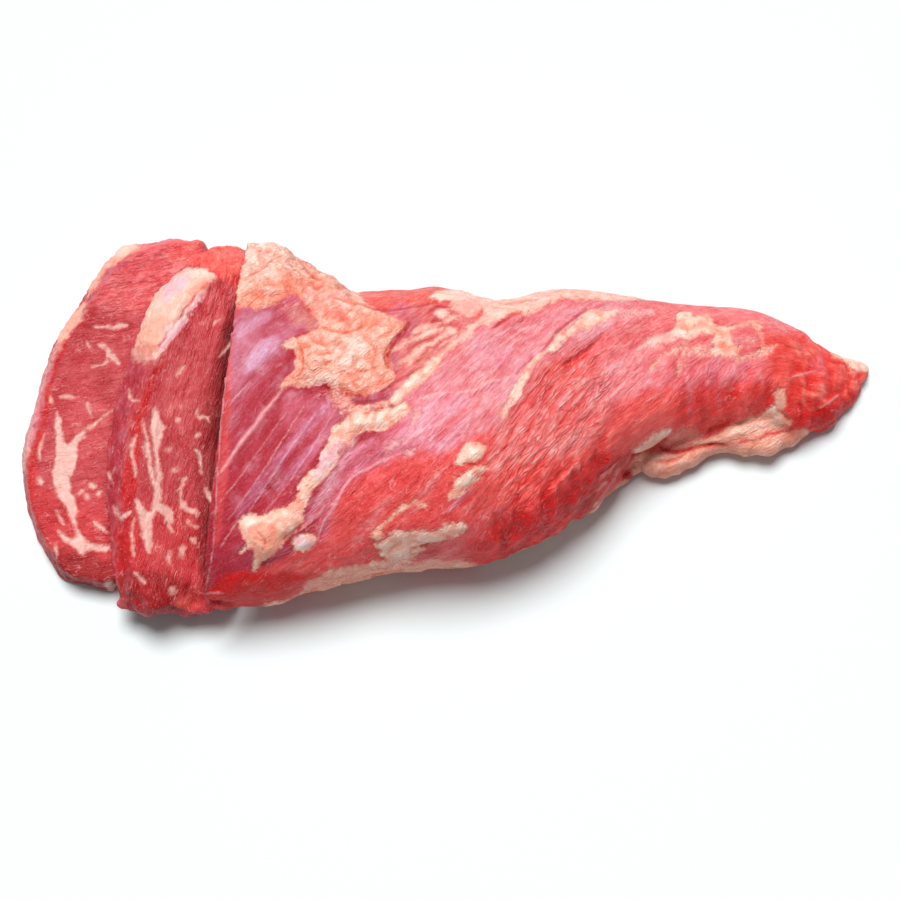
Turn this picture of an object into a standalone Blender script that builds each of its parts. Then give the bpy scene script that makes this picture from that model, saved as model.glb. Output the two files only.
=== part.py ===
"""A raw beef tri-tip: the main piece, and two thick slices from its broad end that have slumped over beside it.

Sizes are in millimetres until the meshes are made. +X runs from the slices to the thin tip, +Y from the near
edge to the far edge, and +Z up. The meat lies on z = 0.
"""

import math

import bmesh
import bpy
import numpy as np
from mathutils import Vector, noise

MM = 0.001

# The cuts. The knife line is a little out of square in plan, and the blade leaned over, so that the foot of the main
# piece's cut face stands back from its upper edge. The lean fades out along the piece.
SLICE_THICKNESS = 12.0
CUT_X = -79.5
KNIFE_TURN = math.radians(5.7)
CUT_SETBACK = 20.0
CUT_FADE = 45.0

# The main piece, as tracks along X. Each key is (x, value).
TIP_X = 152.0
NEAR_EDGE = (
    (-86, -55.5), (-73, -55.5), (-52, -53), (-36, -48), (-12, -43.5), (12, -40.5), (26, -36.5), (44, -26.5),
    (58, -12.5), (68, -2.5), (78, 4), (90, 8.5), (104, 13), (116, 14.5), (126, 10), (138, 11.5), (146, 21.5),
    (152.5, 35),
)
FAR_EDGE = (
    (-86, 75), (-73, 76), (-64, 74), (-54, 66), (-46, 62), (-41, 60), (-35, 56.5), (-18, 57), (-4, 58.5), (15, 57),
    (24, 55.5), (40, 58.5), (62, 57), (90, 54), (112, 53), (126, 49), (137, 43), (145, 39.5), (152.5, 37.5),
)
CREST_LINE = ((-86, -3), (-50, 0), (0, 2), (44, 14), (70, 26), (96, 32), (120, 33), (137, 30), (152.5, 36))
CREST_HEIGHT = (
    (-86, 46), (-70, 47.5), (-40, 51), (0, 54), (30, 52), (52, 46.5), (72, 39.5), (96, 34), (116, 28), (130, 21),
    (142, 13), (152.5, 4),
)
FLANK_HEIGHT = ((-86, 17), (0, 19), (50, 16), (90, 11), (125, 8), (152.5, 2))

# The section's corners: how square it is above its widest level and below it, and how far the foot has spread
DOME_POWER = 2.3
FOOT_POWER = 2.7
SINK = 2.5

# Relief on the main piece: what stands out of it or sinks into it, as plan outlines and lines
FAT_CAP = (
    (-86, 46), (-64, 45), (-47, 45), (-44, 40), (-57, 32), (-51, 28), (-56, 18), (-36, 14), (-30, 11), (-21, 16),
    (-19, 25), (-14, 36), (-24, 43), (-38, 53), (-44, 62), (-54, 80), (-90, 84),
)
CAP_THICKNESS = 2.6
FOLDS = (
    # points, half width, height above the surface
    (((-34, 0), (-25, 6), (-15, 9)), 5.0, 1.8),
    (((-20, 12), (-9, 18), (4, 27), (12, 34), (22, 42), (34, 50)), 4.2, 1.7),
    (((-57, -33), (-50, -27), (-41, -17), (-34, -4)), 5.0, 1.4),
    (((18, 2), (24, 11), (31, 22), (38, 30), (46, 38), (56, 42), (68, 44)), 3.6, 1.2),
    (((-66, -39), (-58, -38), (-50, -36)), 9.0, 2.4),
    (((-24, -38), (-16, -34), (6, -32)), 4.5, 1.2),
    (((6, -18), (9, -13), (12, -10)), 5.5, 2.0),
    (((-18, 8), (-8, 13), (6, 23), (16, 34)), 3.0, -1.2),
    (((-72, -46), (-54, -14), (-42, 10)), 3.0, -0.8),
    (((34, 8), (44, 22), (54, 34)), 4.0, -1.4),
    (((62, -8), (56, 6), (60, 22), (70, 34)), 8.0, -1.1),
    (((-52, -40), (-42, -20), (-30, -8), (-10, 0)), 4.0, -1.0),
)
FAR_LEDGE = {"span": (-34, 16), "height": 15.0, "half_height": 9.0, "reach": 4.0}
NEAR_BULGE = {"at": (4, -12), "radius": 40.0, "height": 2.4}

# The soft flap of fat along the near foot of the thin end, as (x, y, half width, half height)
FLAP = (
    (55, -11.5, 2.0, 2.2), (61, -6.5, 3.0, 3.4), (69, -1.5, 4.0, 4.6), (79, 1.6, 5.0, 5.2), (91, 5.6, 4.2, 5.4),
    (102, 9.6, 6.0, 6.0), (112, 12.4, 7.6, 6.4), (121, 13.2, 6.2, 5.6), (128, 13.4, 3.0, 4.0),
)

# The slices. Each outline is that of the lower cut face, laid flat: (along the slice, up from its foot). The lean
# is how far the slice has tipped over from upright, at its foot and at its top. The slant is how much lower the
# rim of the upper face is for each millimetre of thickness, towards the near end and the far end.
INNER_SLICE = {
    "outline": (
        (-56, 5), (-61, 9), (-63, 16), (-63.5, 25), (-62, 33), (-57, 38.3), (-47, 41.7), (-33, 45.3), (-20, 48),
        (-6, 49.4), (10, 49.8), (23, 49), (36, 47.3), (47, 45.4), (56, 41.8), (64, 36.2), (71, 28.7), (76.5, 18.5),
        (77, 10), (72, 4), (64, 1.5), (50, 0), (25, 0), (0, 0), (-30, 0), (-48, 0.8),
    ),
    "foot": (-74.0, 3.0),
    "turn": math.radians(8),
    "lean_mid": (math.radians(60), math.radians(84)),
    "lean_far": (math.radians(58), math.radians(74)),
    "slant": (0.48, 0.8),
    "far_bevel": 7.0,
}
OUTER_SLICE = {
    "outline": (
        (-60.0, 4), (-60.5, 12), (-60.5, 20), (-57.5, 26), (-49, 33), (-38, 38.5), (-24, 43.5), (-12, 45.3),
        (3, 45.2), (18, 44), (30, 42.3), (41, 40.3), (50, 38.3), (58, 34.5), (66, 27), (72, 16), (73.5, 6),
        (69, -2), (55, -1), (30, 0), (0, 0), (-30, 0), (-45, 0), (-56, 0.5),
    ),
    "foot": (-104.5, 12.0),
    "turn": math.radians(12),
    "lean_mid": (math.radians(89), math.radians(90)),
    "lean_far": (math.radians(84), math.radians(78)),
    "slant": (0.25, 0.5),
    "far_bevel": 3.0,
}

# How far the slices' lowest edge is pressed flat
SETTLED = 0.8

MEAT_RED = (0.52, 0.075, 0.078, 1.0)
CUT_RED = (0.56, 0.09, 0.095, 1.0)


def smooth_track(keys, at):
    """The value at `at` on a smooth curve through the keys, which never overshoots between two of them."""
    x, y = np.array(keys, float).T
    steps = np.diff(x)
    rises = np.diff(y) / steps
    slopes = np.zeros(len(x))
    same_way = rises[:-1] * rises[1:] > 0
    inner = np.zeros(len(x) - 2)
    inner[same_way] = 2 * rises[:-1][same_way] * rises[1:][same_way] / (rises[:-1] + rises[1:])[same_way]
    slopes[1:-1] = inner
    slopes[0], slopes[-1] = rises[0], rises[-1]
    at = np.clip(np.asarray(at, float), x[0], x[-1])
    i = np.clip(np.searchsorted(x, at, side="right") - 1, 0, len(x) - 2)
    t = (at - x[i]) / steps[i]
    start, end = y[i], y[i + 1]
    rise_in, rise_out = slopes[i] * steps[i], slopes[i + 1] * steps[i]
    return (
        start * (1 + 2 * t) * (1 - t) ** 2
        + rise_in * t * (1 - t) ** 2
        + end * t**2 * (3 - 2 * t)
        - rise_out * t**2 * (1 - t)
    )


def smooth_step(t):
    t = np.clip(t, 0, 1)
    return t * t * (3 - 2 * t)


def signed_power(value, power):
    return np.sign(value) * np.abs(value) ** power


def section(angles, near, far, crest, top, flank):
    """A domed section with a flat foot: (across, up) at each angle, from the far edge over the crest."""
    cos, sin = np.cos(angles), np.sin(angles)
    power = np.where(sin >= 0, 2 / DOME_POWER, 2 / FOOT_POWER)
    reach = np.where(cos >= 0, far - crest, crest - near)
    across = crest + reach * signed_power(cos, power)
    height = np.where(sin >= 0, top - flank, flank + SINK)
    up = flank + height * signed_power(sin, power)
    return across, np.maximum(up, 0.0)


def closed_curve(corners, count):
    """Points at even steps along a smooth closed curve through the corners."""
    p1 = np.array(corners, float)
    p0, p2, p3 = np.roll(p1, 1, axis=0), np.roll(p1, -1, axis=0), np.roll(p1, -2, axis=0)
    t = np.linspace(0, 1, 24, endpoint=False)[:, None, None]
    fine = p1 + 0.5 * t * (p2 - p0 + t * (2 * p0 - 5 * p1 + 4 * p2 - p3 + t * (3 * (p1 - p2) + p3 - p0)))
    fine = fine.transpose(1, 0, 2).reshape(-1, 2)
    fine = np.vstack([fine, fine[:1]])
    reached = np.concatenate([[0], np.cumsum(np.hypot(*np.diff(fine, axis=0).T))])
    at = np.linspace(0, reached[-1], count, endpoint=False)
    return np.stack([np.interp(at, reached, fine[:, 0]), np.interp(at, reached, fine[:, 1])], axis=1)


def distance_to_line(x, y, points):
    """Distance in plan from each (x, y) to an open line, and how far along the line that is, from 0 to 1."""
    points = np.array(points, float)
    lengths = np.hypot(*np.diff(points, axis=0).T)
    before = np.concatenate([[0], np.cumsum(lengths)])
    nearest = np.full(x.shape, np.inf)
    along = np.zeros(x.shape)
    for (ax, ay), (bx, by), length, start in zip(points[:-1], points[1:], lengths, before):
        t = np.clip(((x - ax) * (bx - ax) + (y - ay) * (by - ay)) / length**2, 0, 1)
        gap = np.hypot(x - ax - t * (bx - ax), y - ay - t * (by - ay))
        closer = gap < nearest
        nearest = np.where(closer, gap, nearest)
        along = np.where(closer, (start + t * length) / before[-1], along)
    return nearest, along


def inside_outline(x, y, points):
    """Signed plan distance to a closed outline: positive inside it."""
    closed = list(points) + [points[0]]
    gap, _ = distance_to_line(x, y, closed)
    inside = np.zeros(x.shape, bool)
    for (ax, ay), (bx, by) in zip(closed[:-1], closed[1:]):
        crosses = (ay > y) != (by > y)
        at = ax + (y - ay) * (bx - ax) / (by - ay if by != ay else 1e-9)
        inside ^= crosses & (x < at)
    return np.where(inside, gap, -gap)


def raised_fold(x, y, fold):
    """Height of a soft ridge, or of a groove when negative, that narrows towards both ends."""
    points, half_width, height = fold
    gap, along = distance_to_line(x, y, points)
    tapered = 1.5 * half_width * (0.5 + 0.5 * np.sin(np.pi * np.clip(along, 0.04, 0.96)))
    return height * np.maximum(0, 1 - (gap / tapered) ** 2) ** 2


def rough(points, size, seed):
    """Smooth random relief from -1 to 1 with features of about `size` millimetres."""
    shift = Vector((seed * 17.3, seed * -9.1, seed * 5.7))
    flat = points.reshape(-1, 3) / size
    values = [noise.noise(Vector(p) + shift) for p in flat]
    return np.array(values).reshape(points.shape[:-1])


def surface_normals(grid):
    """Outward normals of a grid of points whose second index goes round the body."""
    along = np.gradient(grid, axis=0)
    round_ = np.roll(grid, -1, axis=1) - np.roll(grid, 1, axis=1)
    normals = np.cross(round_, along)
    return normals / np.maximum(np.linalg.norm(normals, axis=-1, keepdims=True), 1e-9)


def mesh_of_rings(name, rings, colour):
    """A closed body from rings of points: each ring is joined to the next, and both ends close on their middle."""
    mesh = bpy.data.meshes.new(name)
    body = bmesh.new()
    loops = [[body.verts.new(Vector(p) * MM) for p in ring] for ring in rings]
    for first, second in zip(loops[:-1], loops[1:]):
        count = len(first)
        for i in range(count):
            j = (i + 1) % count
            body.faces.new((first[i], first[j], second[j], second[i]))
    for loop, ring in ((loops[0], rings[0]), (loops[-1], rings[-1])):
        middle = body.verts.new(Vector(np.mean(ring, axis=0)) * MM)
        for i in range(len(loop)):
            body.faces.new((loop[i], loop[(i + 1) % len(loop)], middle))
    bmesh.ops.recalc_face_normals(body, faces=body.faces)
    body.to_mesh(mesh)
    body.free()
    mesh.shade_smooth()
    piece = bpy.data.objects.new(name, mesh)
    bpy.context.scene.collection.objects.link(piece)
    mesh.materials.append(meat_material(name + "_meat", colour))
    return piece


def meat_material(name, colour):
    material = bpy.data.materials.new(name)
    material.use_nodes = True
    shader = material.node_tree.nodes["Principled BSDF"]
    shader.inputs["Base Color"].default_value = colour
    shader.inputs["Roughness"].default_value = 0.42
    shader.inputs["Metallic"].default_value = 0.0
    return material


def cut_face_x(across, up, roof):
    """X of the main piece's cut face at this Y and height, where its upper edge is `roof` high."""
    setback = CUT_SETBACK * np.clip(1 - up / roof, 0, 1)
    return CUT_X + math.tan(KNIFE_TURN) * across + setback


def main_grid(rings=170, around=164):
    """Points of the main piece before its relief: rings from the cut face to the tip."""
    u = np.linspace(0, 1, rings)
    stations = CUT_X + (TIP_X - CUT_X) * (1 - (1 - u) ** 1.12)
    angles = np.linspace(0, 2 * np.pi, around, endpoint=False)
    grid = np.zeros((rings, around, 3))
    for i, x in enumerate(stations):
        near, far = smooth_track(NEAR_EDGE, x), smooth_track(FAR_EDGE, x)
        crest, top = smooth_track(CREST_LINE, x), smooth_track(CREST_HEIGHT, x)
        across, up = section(angles, near, far, crest, top, smooth_track(FLANK_HEIGHT, x))
        roof = section(np.pi - np.abs(np.pi - angles), near, far, crest, top, smooth_track(FLANK_HEIGHT, x))[1]
        slant = 1 - smooth_step((x - CUT_X) / CUT_FADE)
        grid[i, :, 0] = x + slant * (cut_face_x(across, up, roof) - CUT_X)
        grid[i, :, 1] = across
        grid[i, :, 2] = up
    return grid


def main_relief(grid, normals):
    """How far each point of the main piece moves out along its normal."""
    x, y, z = np.moveaxis(grid, -1, 0)
    facing_up = smooth_step((normals[..., 2] + 0.15) / 0.5)
    away_from_foot = smooth_step(z / 6.0)
    cap = smooth_step(inside_outline(x, y, FAT_CAP) / 5.0 + 0.4) * CAP_THICKNESS
    lumps = cap / CAP_THICKNESS * rough(grid, 11.0, 3) * 1.5
    out = (cap + lumps) * facing_up
    for fold in FOLDS:
        out = out + raised_fold(x, y, fold) * facing_up
    ledge = FAR_LEDGE
    start, end = ledge["span"]
    across_span = smooth_step((x - start) / 12 + 0.5) * smooth_step((end - x) / 12 + 0.5)
    level = np.maximum(0, 1 - ((z - ledge["height"]) / ledge["half_height"]) ** 2)
    out = out + ledge["reach"] * across_span * level * (normals[..., 1] > 0)
    bulge = NEAR_BULGE
    away = np.hypot(x - bulge["at"][0], y - bulge["at"][1]) / bulge["radius"]
    out = out + bulge["height"] * smooth_step(1 - away) * facing_up
    out = out + rough(grid, 34.0, 1) * 1.6 + rough(grid, 12.0, 2) * 0.6
    return even_out(out * away_from_foot, 3)


def even_out(values, rounds):
    """Each value drawn towards its neighbours' along the body and round it."""
    for _ in range(rounds):
        padded = np.pad(values, ((1, 1), (0, 0)), mode="edge")
        values = (padded[:-2] + 2 * values + padded[2:]) / 4
        values = (np.roll(values, 1, axis=1) + 2 * values + np.roll(values, -1, axis=1)) / 4
    return values


def cut_face_rings(face):
    """Rings that fill the main piece's cut face, from its middle out towards its outline."""
    middle = face.mean(axis=0)
    over_the_top = face[: len(face) // 2 + 1]
    roof_y, roof_z = over_the_top[::-1, 1], over_the_top[::-1, 2]
    rings = []
    for share in (0.08, 0.25, 0.42, 0.6, 0.76, 0.9):
        ring = middle + (face - middle) * share
        ring[:, 0] = cut_face_x(ring[:, 1], ring[:, 2], np.interp(ring[:, 1], roof_y, roof_z))
        rings.append(ring)
    return rings


def main_piece():
    grid = main_grid()
    normals = surface_normals(grid)
    normals[0] = normals[0] * (0, 1, 1)
    moved = grid + normals * main_relief(grid, normals)[..., None]
    moved[..., 2] = np.maximum(moved[..., 2], 0)
    return mesh_of_rings("main_piece", cut_face_rings(moved[0]) + list(moved), MEAT_RED)


def fat_flap():
    """The soft lip of fat at the foot of the thin end, as a flattened tube that thins out at both ends."""
    spans = np.linspace(0, 1, 44)
    keys = np.linspace(0, 1, len(FLAP))
    x, y, half_width, half_height = (
        smooth_track(list(zip(keys, values)), spans) for values in zip(*FLAP)
    )
    half_width = half_width + 0.9 * np.sin(spans * 41) * np.sin(spans * np.pi)
    heading = np.stack([np.gradient(x), np.gradient(y)])
    heading /= np.hypot(*heading)
    angles = np.linspace(0, 2 * np.pi, 28, endpoint=False)
    rings = []
    for i in range(len(spans)):
        side = signed_power(np.cos(angles), 0.9) * half_width[i]
        up = half_height[i] * (1 + signed_power(np.sin(angles), 0.8))
        ring = np.stack([x[i] - heading[1, i] * side, y[i] + heading[0, i] * side, up], axis=1)
        rings.append(ring)
    return mesh_of_rings("fat_flap", rings, MEAT_RED)


def slice_point(spec, along, height, out):
    """Where a point of a slice lands: `along` its length, `height` from its foot, `out` from its lower cut face."""
    far, top = np.array(spec["outline"]).max(axis=0)
    to_far = smooth_step(along / far)
    foot_lean = spec["lean_mid"][0] + (spec["lean_far"][0] - spec["lean_mid"][0]) * to_far
    top_lean = spec["lean_mid"][1] + (spec["lean_far"][1] - spec["lean_mid"][1]) * to_far
    turn_rate = (top_lean - foot_lean) / top
    turn_rate = np.where(np.abs(turn_rate) < 1e-5, 1e-5, turn_rate)
    lean = foot_lean + turn_rate * height
    across = (np.cos(lean) - np.cos(foot_lean)) / turn_rate + out * np.cos(lean)
    up = (np.sin(lean) - np.sin(foot_lean)) / turn_rate + out * np.sin(lean)
    cos, sin = math.cos(spec["turn"]), math.sin(spec["turn"])
    x = spec["foot"][0] + along * sin + across * cos
    y = spec["foot"][1] + along * cos - across * sin
    return np.stack([x, y, up], axis=-1)


def cut_slice(name, spec, seed, around=132):
    """One slice: its outline at each level of the thickness, closed by the two cut faces."""
    along, height = closed_curve(spec["outline"], around).T
    middle = np.array([along.mean(), height.mean()])
    domed = smooth_step((height - 4) / 14)
    farward = smooth_step(along / along.max()) ** 2
    ragged = rough(np.stack([along, height, 0 * along], axis=-1), 9.0, seed) * 0.7 * domed
    levels = [(0.0, share) for share in (0.1, 0.25, 0.42, 0.6, 0.76, 0.89, 0.975)]
    levels += [(level, 1.0) for level in (0.07, 0.25, 0.5, 0.75, 0.93)]
    levels += [(1.0, share) for share in (0.98, 0.89, 0.76, 0.6, 0.42, 0.25, 0.1)]
    rings = []
    for level, share in levels:
        out = level * SLICE_THICKNESS
        slant = domed * out * (spec["slant"][0] + (spec["slant"][1] - spec["slant"][0]) * smooth_step(along / 40))
        ring_along = middle[0] + (along + ragged - spec["far_bevel"] * farward * level - middle[0]) * share
        ring_height = middle[1] + (height + ragged - slant - middle[1]) * share
        points = slice_point(spec, ring_along, ring_height, np.full(around, out))
        points[:, 2] += rough(points, 26.0, seed) * 0.6 * (level > 0)
        rings.append(points)
    rings = np.array(rings)
    rings[..., 2] = np.maximum(rings[..., 2] - rings[..., 2].min() - SETTLED, 0)
    return mesh_of_rings(name, rings, CUT_RED)


def fuse(piece, extra):
    """Joins the extra into the piece with a union, and leaves only the piece."""
    union = piece.modifiers.new("join", "BOOLEAN")
    union.operation = "UNION"
    union.solver = "EXACT"
    union.object = extra
    bpy.context.view_layer.update()
    graph = bpy.context.evaluated_depsgraph_get()
    joined = bpy.data.meshes.new_from_object(piece.evaluated_get(graph))
    piece.modifiers.clear()
    piece.data = joined
    bpy.data.objects.remove(extra)


def thin_out(piece, triangles):
    """Leaves about this many triangles, most of them where the surface bends."""
    piece.data.calc_loop_triangles()
    thinner = piece.modifiers.new("thin_out", "DECIMATE")
    thinner.decimate_type = "COLLAPSE"
    thinner.ratio = triangles / len(piece.data.loop_triangles)
    thinner.use_collapse_triangulate = True


def centre_on_origin(pieces):
    """Moves the meshes so that the whole stands on z = 0, with the origin below its middle."""
    corners = np.array([v.co for piece in pieces for v in piece.data.vertices])
    low, high = corners.min(axis=0), corners.max(axis=0)
    shift = Vector((-(low[0] + high[0]) / 2, -(low[1] + high[1]) / 2, -low[2]))
    for piece in pieces:
        for vertex in piece.data.vertices:
            vertex.co += shift


def build():
    for old in list(bpy.data.objects):
        bpy.data.objects.remove(old)
    main = main_piece()
    fuse(main, fat_flap())
    inner = cut_slice("inner_slice", INNER_SLICE, 5)
    outer = cut_slice("outer_slice", OUTER_SLICE, 9)
    centre_on_origin([main, inner, outer])
    thin_out(main, 7200)
    thin_out(inner, 2000)
    thin_out(outer, 2000)


build()
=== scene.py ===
"""Raw sliced tri-tip: the looks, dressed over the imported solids.

The big piece and the two slices are each grown from their own solid: a fine skin over it, pushed out and in
by the fat, folds, grain and marbling that the photograph shows, and coloured by washes.  Shapes that are read
off the photograph are named here in its pixels and laid on the meat along the camera's lines of sight.  What
the camera can't see gets the same meat, fat and film without the photograph's own shapes.
"""
import math

import bmesh
import bpy
import numpy as np
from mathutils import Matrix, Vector


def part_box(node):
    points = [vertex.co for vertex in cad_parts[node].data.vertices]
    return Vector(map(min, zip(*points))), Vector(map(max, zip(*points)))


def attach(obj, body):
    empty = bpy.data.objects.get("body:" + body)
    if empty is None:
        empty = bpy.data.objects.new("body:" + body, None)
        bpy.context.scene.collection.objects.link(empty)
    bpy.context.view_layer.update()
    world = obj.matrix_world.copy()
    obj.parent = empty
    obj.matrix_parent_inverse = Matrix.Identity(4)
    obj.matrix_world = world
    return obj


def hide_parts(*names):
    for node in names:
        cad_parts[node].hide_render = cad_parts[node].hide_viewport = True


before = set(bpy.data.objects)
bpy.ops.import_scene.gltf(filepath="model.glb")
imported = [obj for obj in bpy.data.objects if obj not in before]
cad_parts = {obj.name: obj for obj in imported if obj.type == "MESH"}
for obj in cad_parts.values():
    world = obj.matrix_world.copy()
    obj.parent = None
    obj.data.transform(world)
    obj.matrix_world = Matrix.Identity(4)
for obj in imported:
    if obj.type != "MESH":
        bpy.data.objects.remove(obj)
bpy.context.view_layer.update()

# ---------------------------------------------------------- sizes, in metres unless a name says otherwise
MM = 0.001
BIG_SKIN = 0.86 * MM      # side of one square of the big piece's skin
SLICE_SKIN = 0.52 * MM

# The photograph: 900 pixels square, from 74 degrees above, 0.356 mm of meat to a pixel.
PICTURE = 900
PIXEL_MM = 0.356
CAMERA_FAR = 1.10
CAMERA_RISE = math.radians(74)
SENSOR_MM = 36
LOOK_AT = np.array((0.00131, -0.01351, 0.020))
BACK = np.array((0.0, -math.cos(CAMERA_RISE), math.sin(CAMERA_RISE)))
UP = np.array((0.0, math.sin(CAMERA_RISE), math.cos(CAMERA_RISE)))
FOCUS = CAMERA_FAR / (PIXEL_MM * MM)             # focal length in pixels


# ---------------------------------------------------------- colours
def paint(red, green, blue):
    """A colour as a screen shows it, 0 to 255, as the linear one that Blender works in."""
    screen = np.array((red, green, blue)) / 255
    return np.where(screen <= 0.04045, screen / 12.92, ((screen + 0.055) / 1.055) ** 2.4)


ROSE = paint(244, 108, 110)
DEEP_ROSE = paint(188, 54, 74)
DARK_ROSE = paint(170, 42, 58)
PURPLE = paint(176, 62, 96)
LILAC = paint(208, 120, 142)
# Lilac of silver skin with a painted sheen on it.
LILAC_SHEEN = paint(230, 190, 218)
SOFT_LILAC = paint(210, 120, 150)
PALE_LILAC = paint(238, 152, 174)
MAUVE = paint(220, 118, 138)
FILM_PINK = paint(238, 152, 158)
PALE_PINK = paint(254, 182, 182)
LEAN_RED = paint(244, 98, 95)
BRIGHT_RED = paint(255, 106, 98)
CORAL = paint(238, 104, 92)
BULGE_RED = paint(255, 154, 148)
STREAK_RED = paint(236, 72, 72)
# Painted shade: a deep red where the near-facing side lies in shade.
FLANK_SHADE_RED = paint(236, 10, 10)
SHADE_RED = paint(206, 24, 26)
CORNER_RED = paint(226, 8, 8)
TIP_RED = paint(252, 92, 80)
TAIL_RED = paint(255, 84, 78)
TAIL_PINK = paint(242, 128, 134)
TAIL_TOP = paint(246, 136, 136)
RIGHT_PINK = paint(250, 156, 158)

SLICE_ROSE = paint(200, 78, 83)
SLICE_RED = paint(210, 58, 60)
SLICE_WET = paint(206, 30, 34)
# Painted shade on the slices: beside the other slice and the big piece, and at their near ends.
SLICE_SHADE = paint(150, 8, 14)
SLICE_PALE = paint(232, 112, 114)
RIM_MAUVE = paint(188, 58, 74)
PINK_TAN = paint(226, 132, 128)
END_CORAL = paint(255, 122, 108)
FAR_ROSE = paint(242, 130, 130)
# Painted shade in the deep gap beside the inner slice.
CREVICE_SHADE = paint(88, 0, 0)
FILM_LILAC = paint(242, 176, 192)
# Painted shade in the deep crease at the left end of the flap of fat.
CREASE_SHADE_RED = paint(212, 22, 12)

CREAM = paint(250, 210, 190)
PEACH = paint(248, 178, 156)
APRICOT = paint(246, 156, 130)
CORAL_FAT = paint(246, 134, 112)
PALE_FAT = paint(250, 218, 202)
PINK_FAT = paint(248, 184, 172)
LILAC_FAT = paint(238, 194, 202)
BROWN_FAT = paint(206, 124, 108)
FLAP_FAT = paint(240, 172, 148)
WHITISH = paint(252, 206, 206)
TIP_VEIN = paint(255, 158, 138)
MARBLE = paint(230, 184, 174)


# ---------------------------------------------------------- noise
def hashed(cell_x, cell_y, cell_z, seed):
    """A fixed random number from 0 to 1 for each cell of a grid."""
    mix = (cell_x * 73856093) ^ (cell_y * 19349663) ^ (cell_z * 83492791) ^ (seed * 265443576)
    mix = ((mix ^ (mix >> 13)) * 1274126177) & 0xFFFFFFFF
    return ((mix ^ (mix >> 15)) & 0xFFFF) / 65535.0


def soft_noise(points, size, seed=0):
    """Smooth noise from -1 to 1 whose bumps are about `size` across, at points in mm."""
    scaled = points / size
    cell = np.floor(scaled).astype(np.int64)
    part = scaled - cell
    part = part * part * (3 - 2 * part)
    total = np.zeros(len(points))
    for corner in np.ndindex(2, 2, 2):
        weight = np.prod(np.where(np.array(corner) == 1, part, 1 - part), axis=1)
        total += weight * hashed(*(cell + np.array(corner)).T, seed)
    return total * 2 - 1


def rough_noise(points, size, seed=0, octaves=3):
    """Noise with ever finer bumps on it."""
    return sum(soft_noise(points, size / 2 ** k, seed + 7 * k) * 0.55 ** k for k in range(octaves))


def lobes(points, size, seed=0):
    """Rounded lumps with creases between them: 1 in the middle of a lump, 0 in a crease."""
    scaled = points / size
    cell = np.floor(scaled).astype(np.int64)
    first = np.full(len(points), 9.0)
    second = first.copy()
    for step in np.ndindex(3, 3, 3):
        there = cell + np.array(step) - 1
        centre = there + np.stack([hashed(*there.T, seed + k) for k in range(3)], 1)
        gap = np.linalg.norm(scaled - centre, axis=1)
        second = np.minimum(second, np.maximum(gap, first))
        first = np.minimum(first, gap)
    return smooth_step(second - first, 0, 0.45)


def smooth_step(value, low, high):
    part = np.clip((value - low) / (high - low), 0, 1)
    return part * part * (3 - 2 * part)


# ---------------------------------------------------------- the photograph's pixels
def picture_places(points):
    """Where the camera sees these points, in pixels from the picture's top left corner."""
    seen = points - (LOOK_AT + BACK * CAMERA_FAR)
    depth = -(seen @ BACK)
    return np.stack([PICTURE / 2 + seen[:, 0] / depth * FOCUS,
                     PICTURE / 2 - (seen @ UP) / depth * FOCUS], 1)


def nudged(points, nudges):
    """Points moved sideways and in depth, never up or down.  A nudge fades with distance in the picture."""
    places = picture_places(points)
    moved = points.copy()
    for spot_there, (right, down), reach in nudges:
        near = np.exp(-((places - spot_there) ** 2).sum(1) / reach ** 2) * PIXEL_MM * MM
        moved[:, 0] += near * right
        moved[:, 1] -= near * down / math.sin(CAMERA_RISE)
    return moved


BEYOND = -40.0                                   # pixels: what a shape says of places well outside it


def rounded(corners, closed):
    """The same line with each corner cut once."""
    ahead = np.roll(corners, -1, 0) if closed else corners[1:]
    start = corners if closed else corners[:-1]
    cut = np.stack([start * 0.75 + ahead * 0.25, start * 0.25 + ahead * 0.75], 1).reshape(-1, 2)
    return cut if closed else np.vstack([corners[:1], cut[1:-1], corners[-1:]])


def nearest(places, line, closed):
    """Distance from each place to the line, and how far along the line that is, from 0 to 1."""
    gap = np.full(len(places), 1e9)
    along = np.zeros(len(places))
    steps = len(line) if closed else len(line) - 1
    for k in range(steps):
        start, run = line[k], line[(k + 1) % len(line)] - line[k]
        part = np.clip(((places - start) @ run) / max(run @ run, 1e-9), 0, 1)
        here = np.linalg.norm(places - start - part[:, None] * run, axis=1)
        closer = here < gap
        gap = np.where(closer, here, gap)
        along = np.where(closer, (k + part) / steps, along)
    return gap, along


def patch(*corners):
    """A closed outline in the picture.  Returns how many pixels inside it each place is."""
    line = rounded(np.array(corners, float), True)

    def reach(places):
        inside_by = np.full(len(places), BEYOND)
        near = ((places > line.min(0) + BEYOND) & (places < line.max(0) - BEYOND)).all(1)
        spots = places[near]
        gap, _ = nearest(spots, line, True)
        ahead = np.roll(line, -1, 0)
        inside = np.zeros(len(spots), bool)
        for (x0, y0), (x1, y1) in zip(line, ahead):
            if y0 != y1:
                crosses = (y0 > spots[:, 1]) != (y1 > spots[:, 1])
                inside ^= crosses & (spots[:, 0] < x0 + (spots[:, 1] - y0) * (x1 - x0) / (y1 - y0))
        inside_by[near] = np.where(inside, gap, np.maximum(-gap, BEYOND))
        return inside_by
    return reach


def stroke(width, *stops):
    """A line in the picture, `width` pixels wide in its middle and tapering to its ends."""
    line = rounded(np.array(stops, float), False)

    def reach(places):
        inside_by = np.full(len(places), BEYOND)
        near = ((places > line.min(0) + BEYOND) & (places < line.max(0) - BEYOND)).all(1)
        gap, along = nearest(places[near], line, False)
        taper = 0.35 + 0.65 * np.sqrt(np.clip(np.minimum(along, 1 - along) * 5, 0, 1))
        inside_by[near] = np.maximum(width / 2 * taper - gap, BEYOND)
        return inside_by
    return reach


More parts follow.
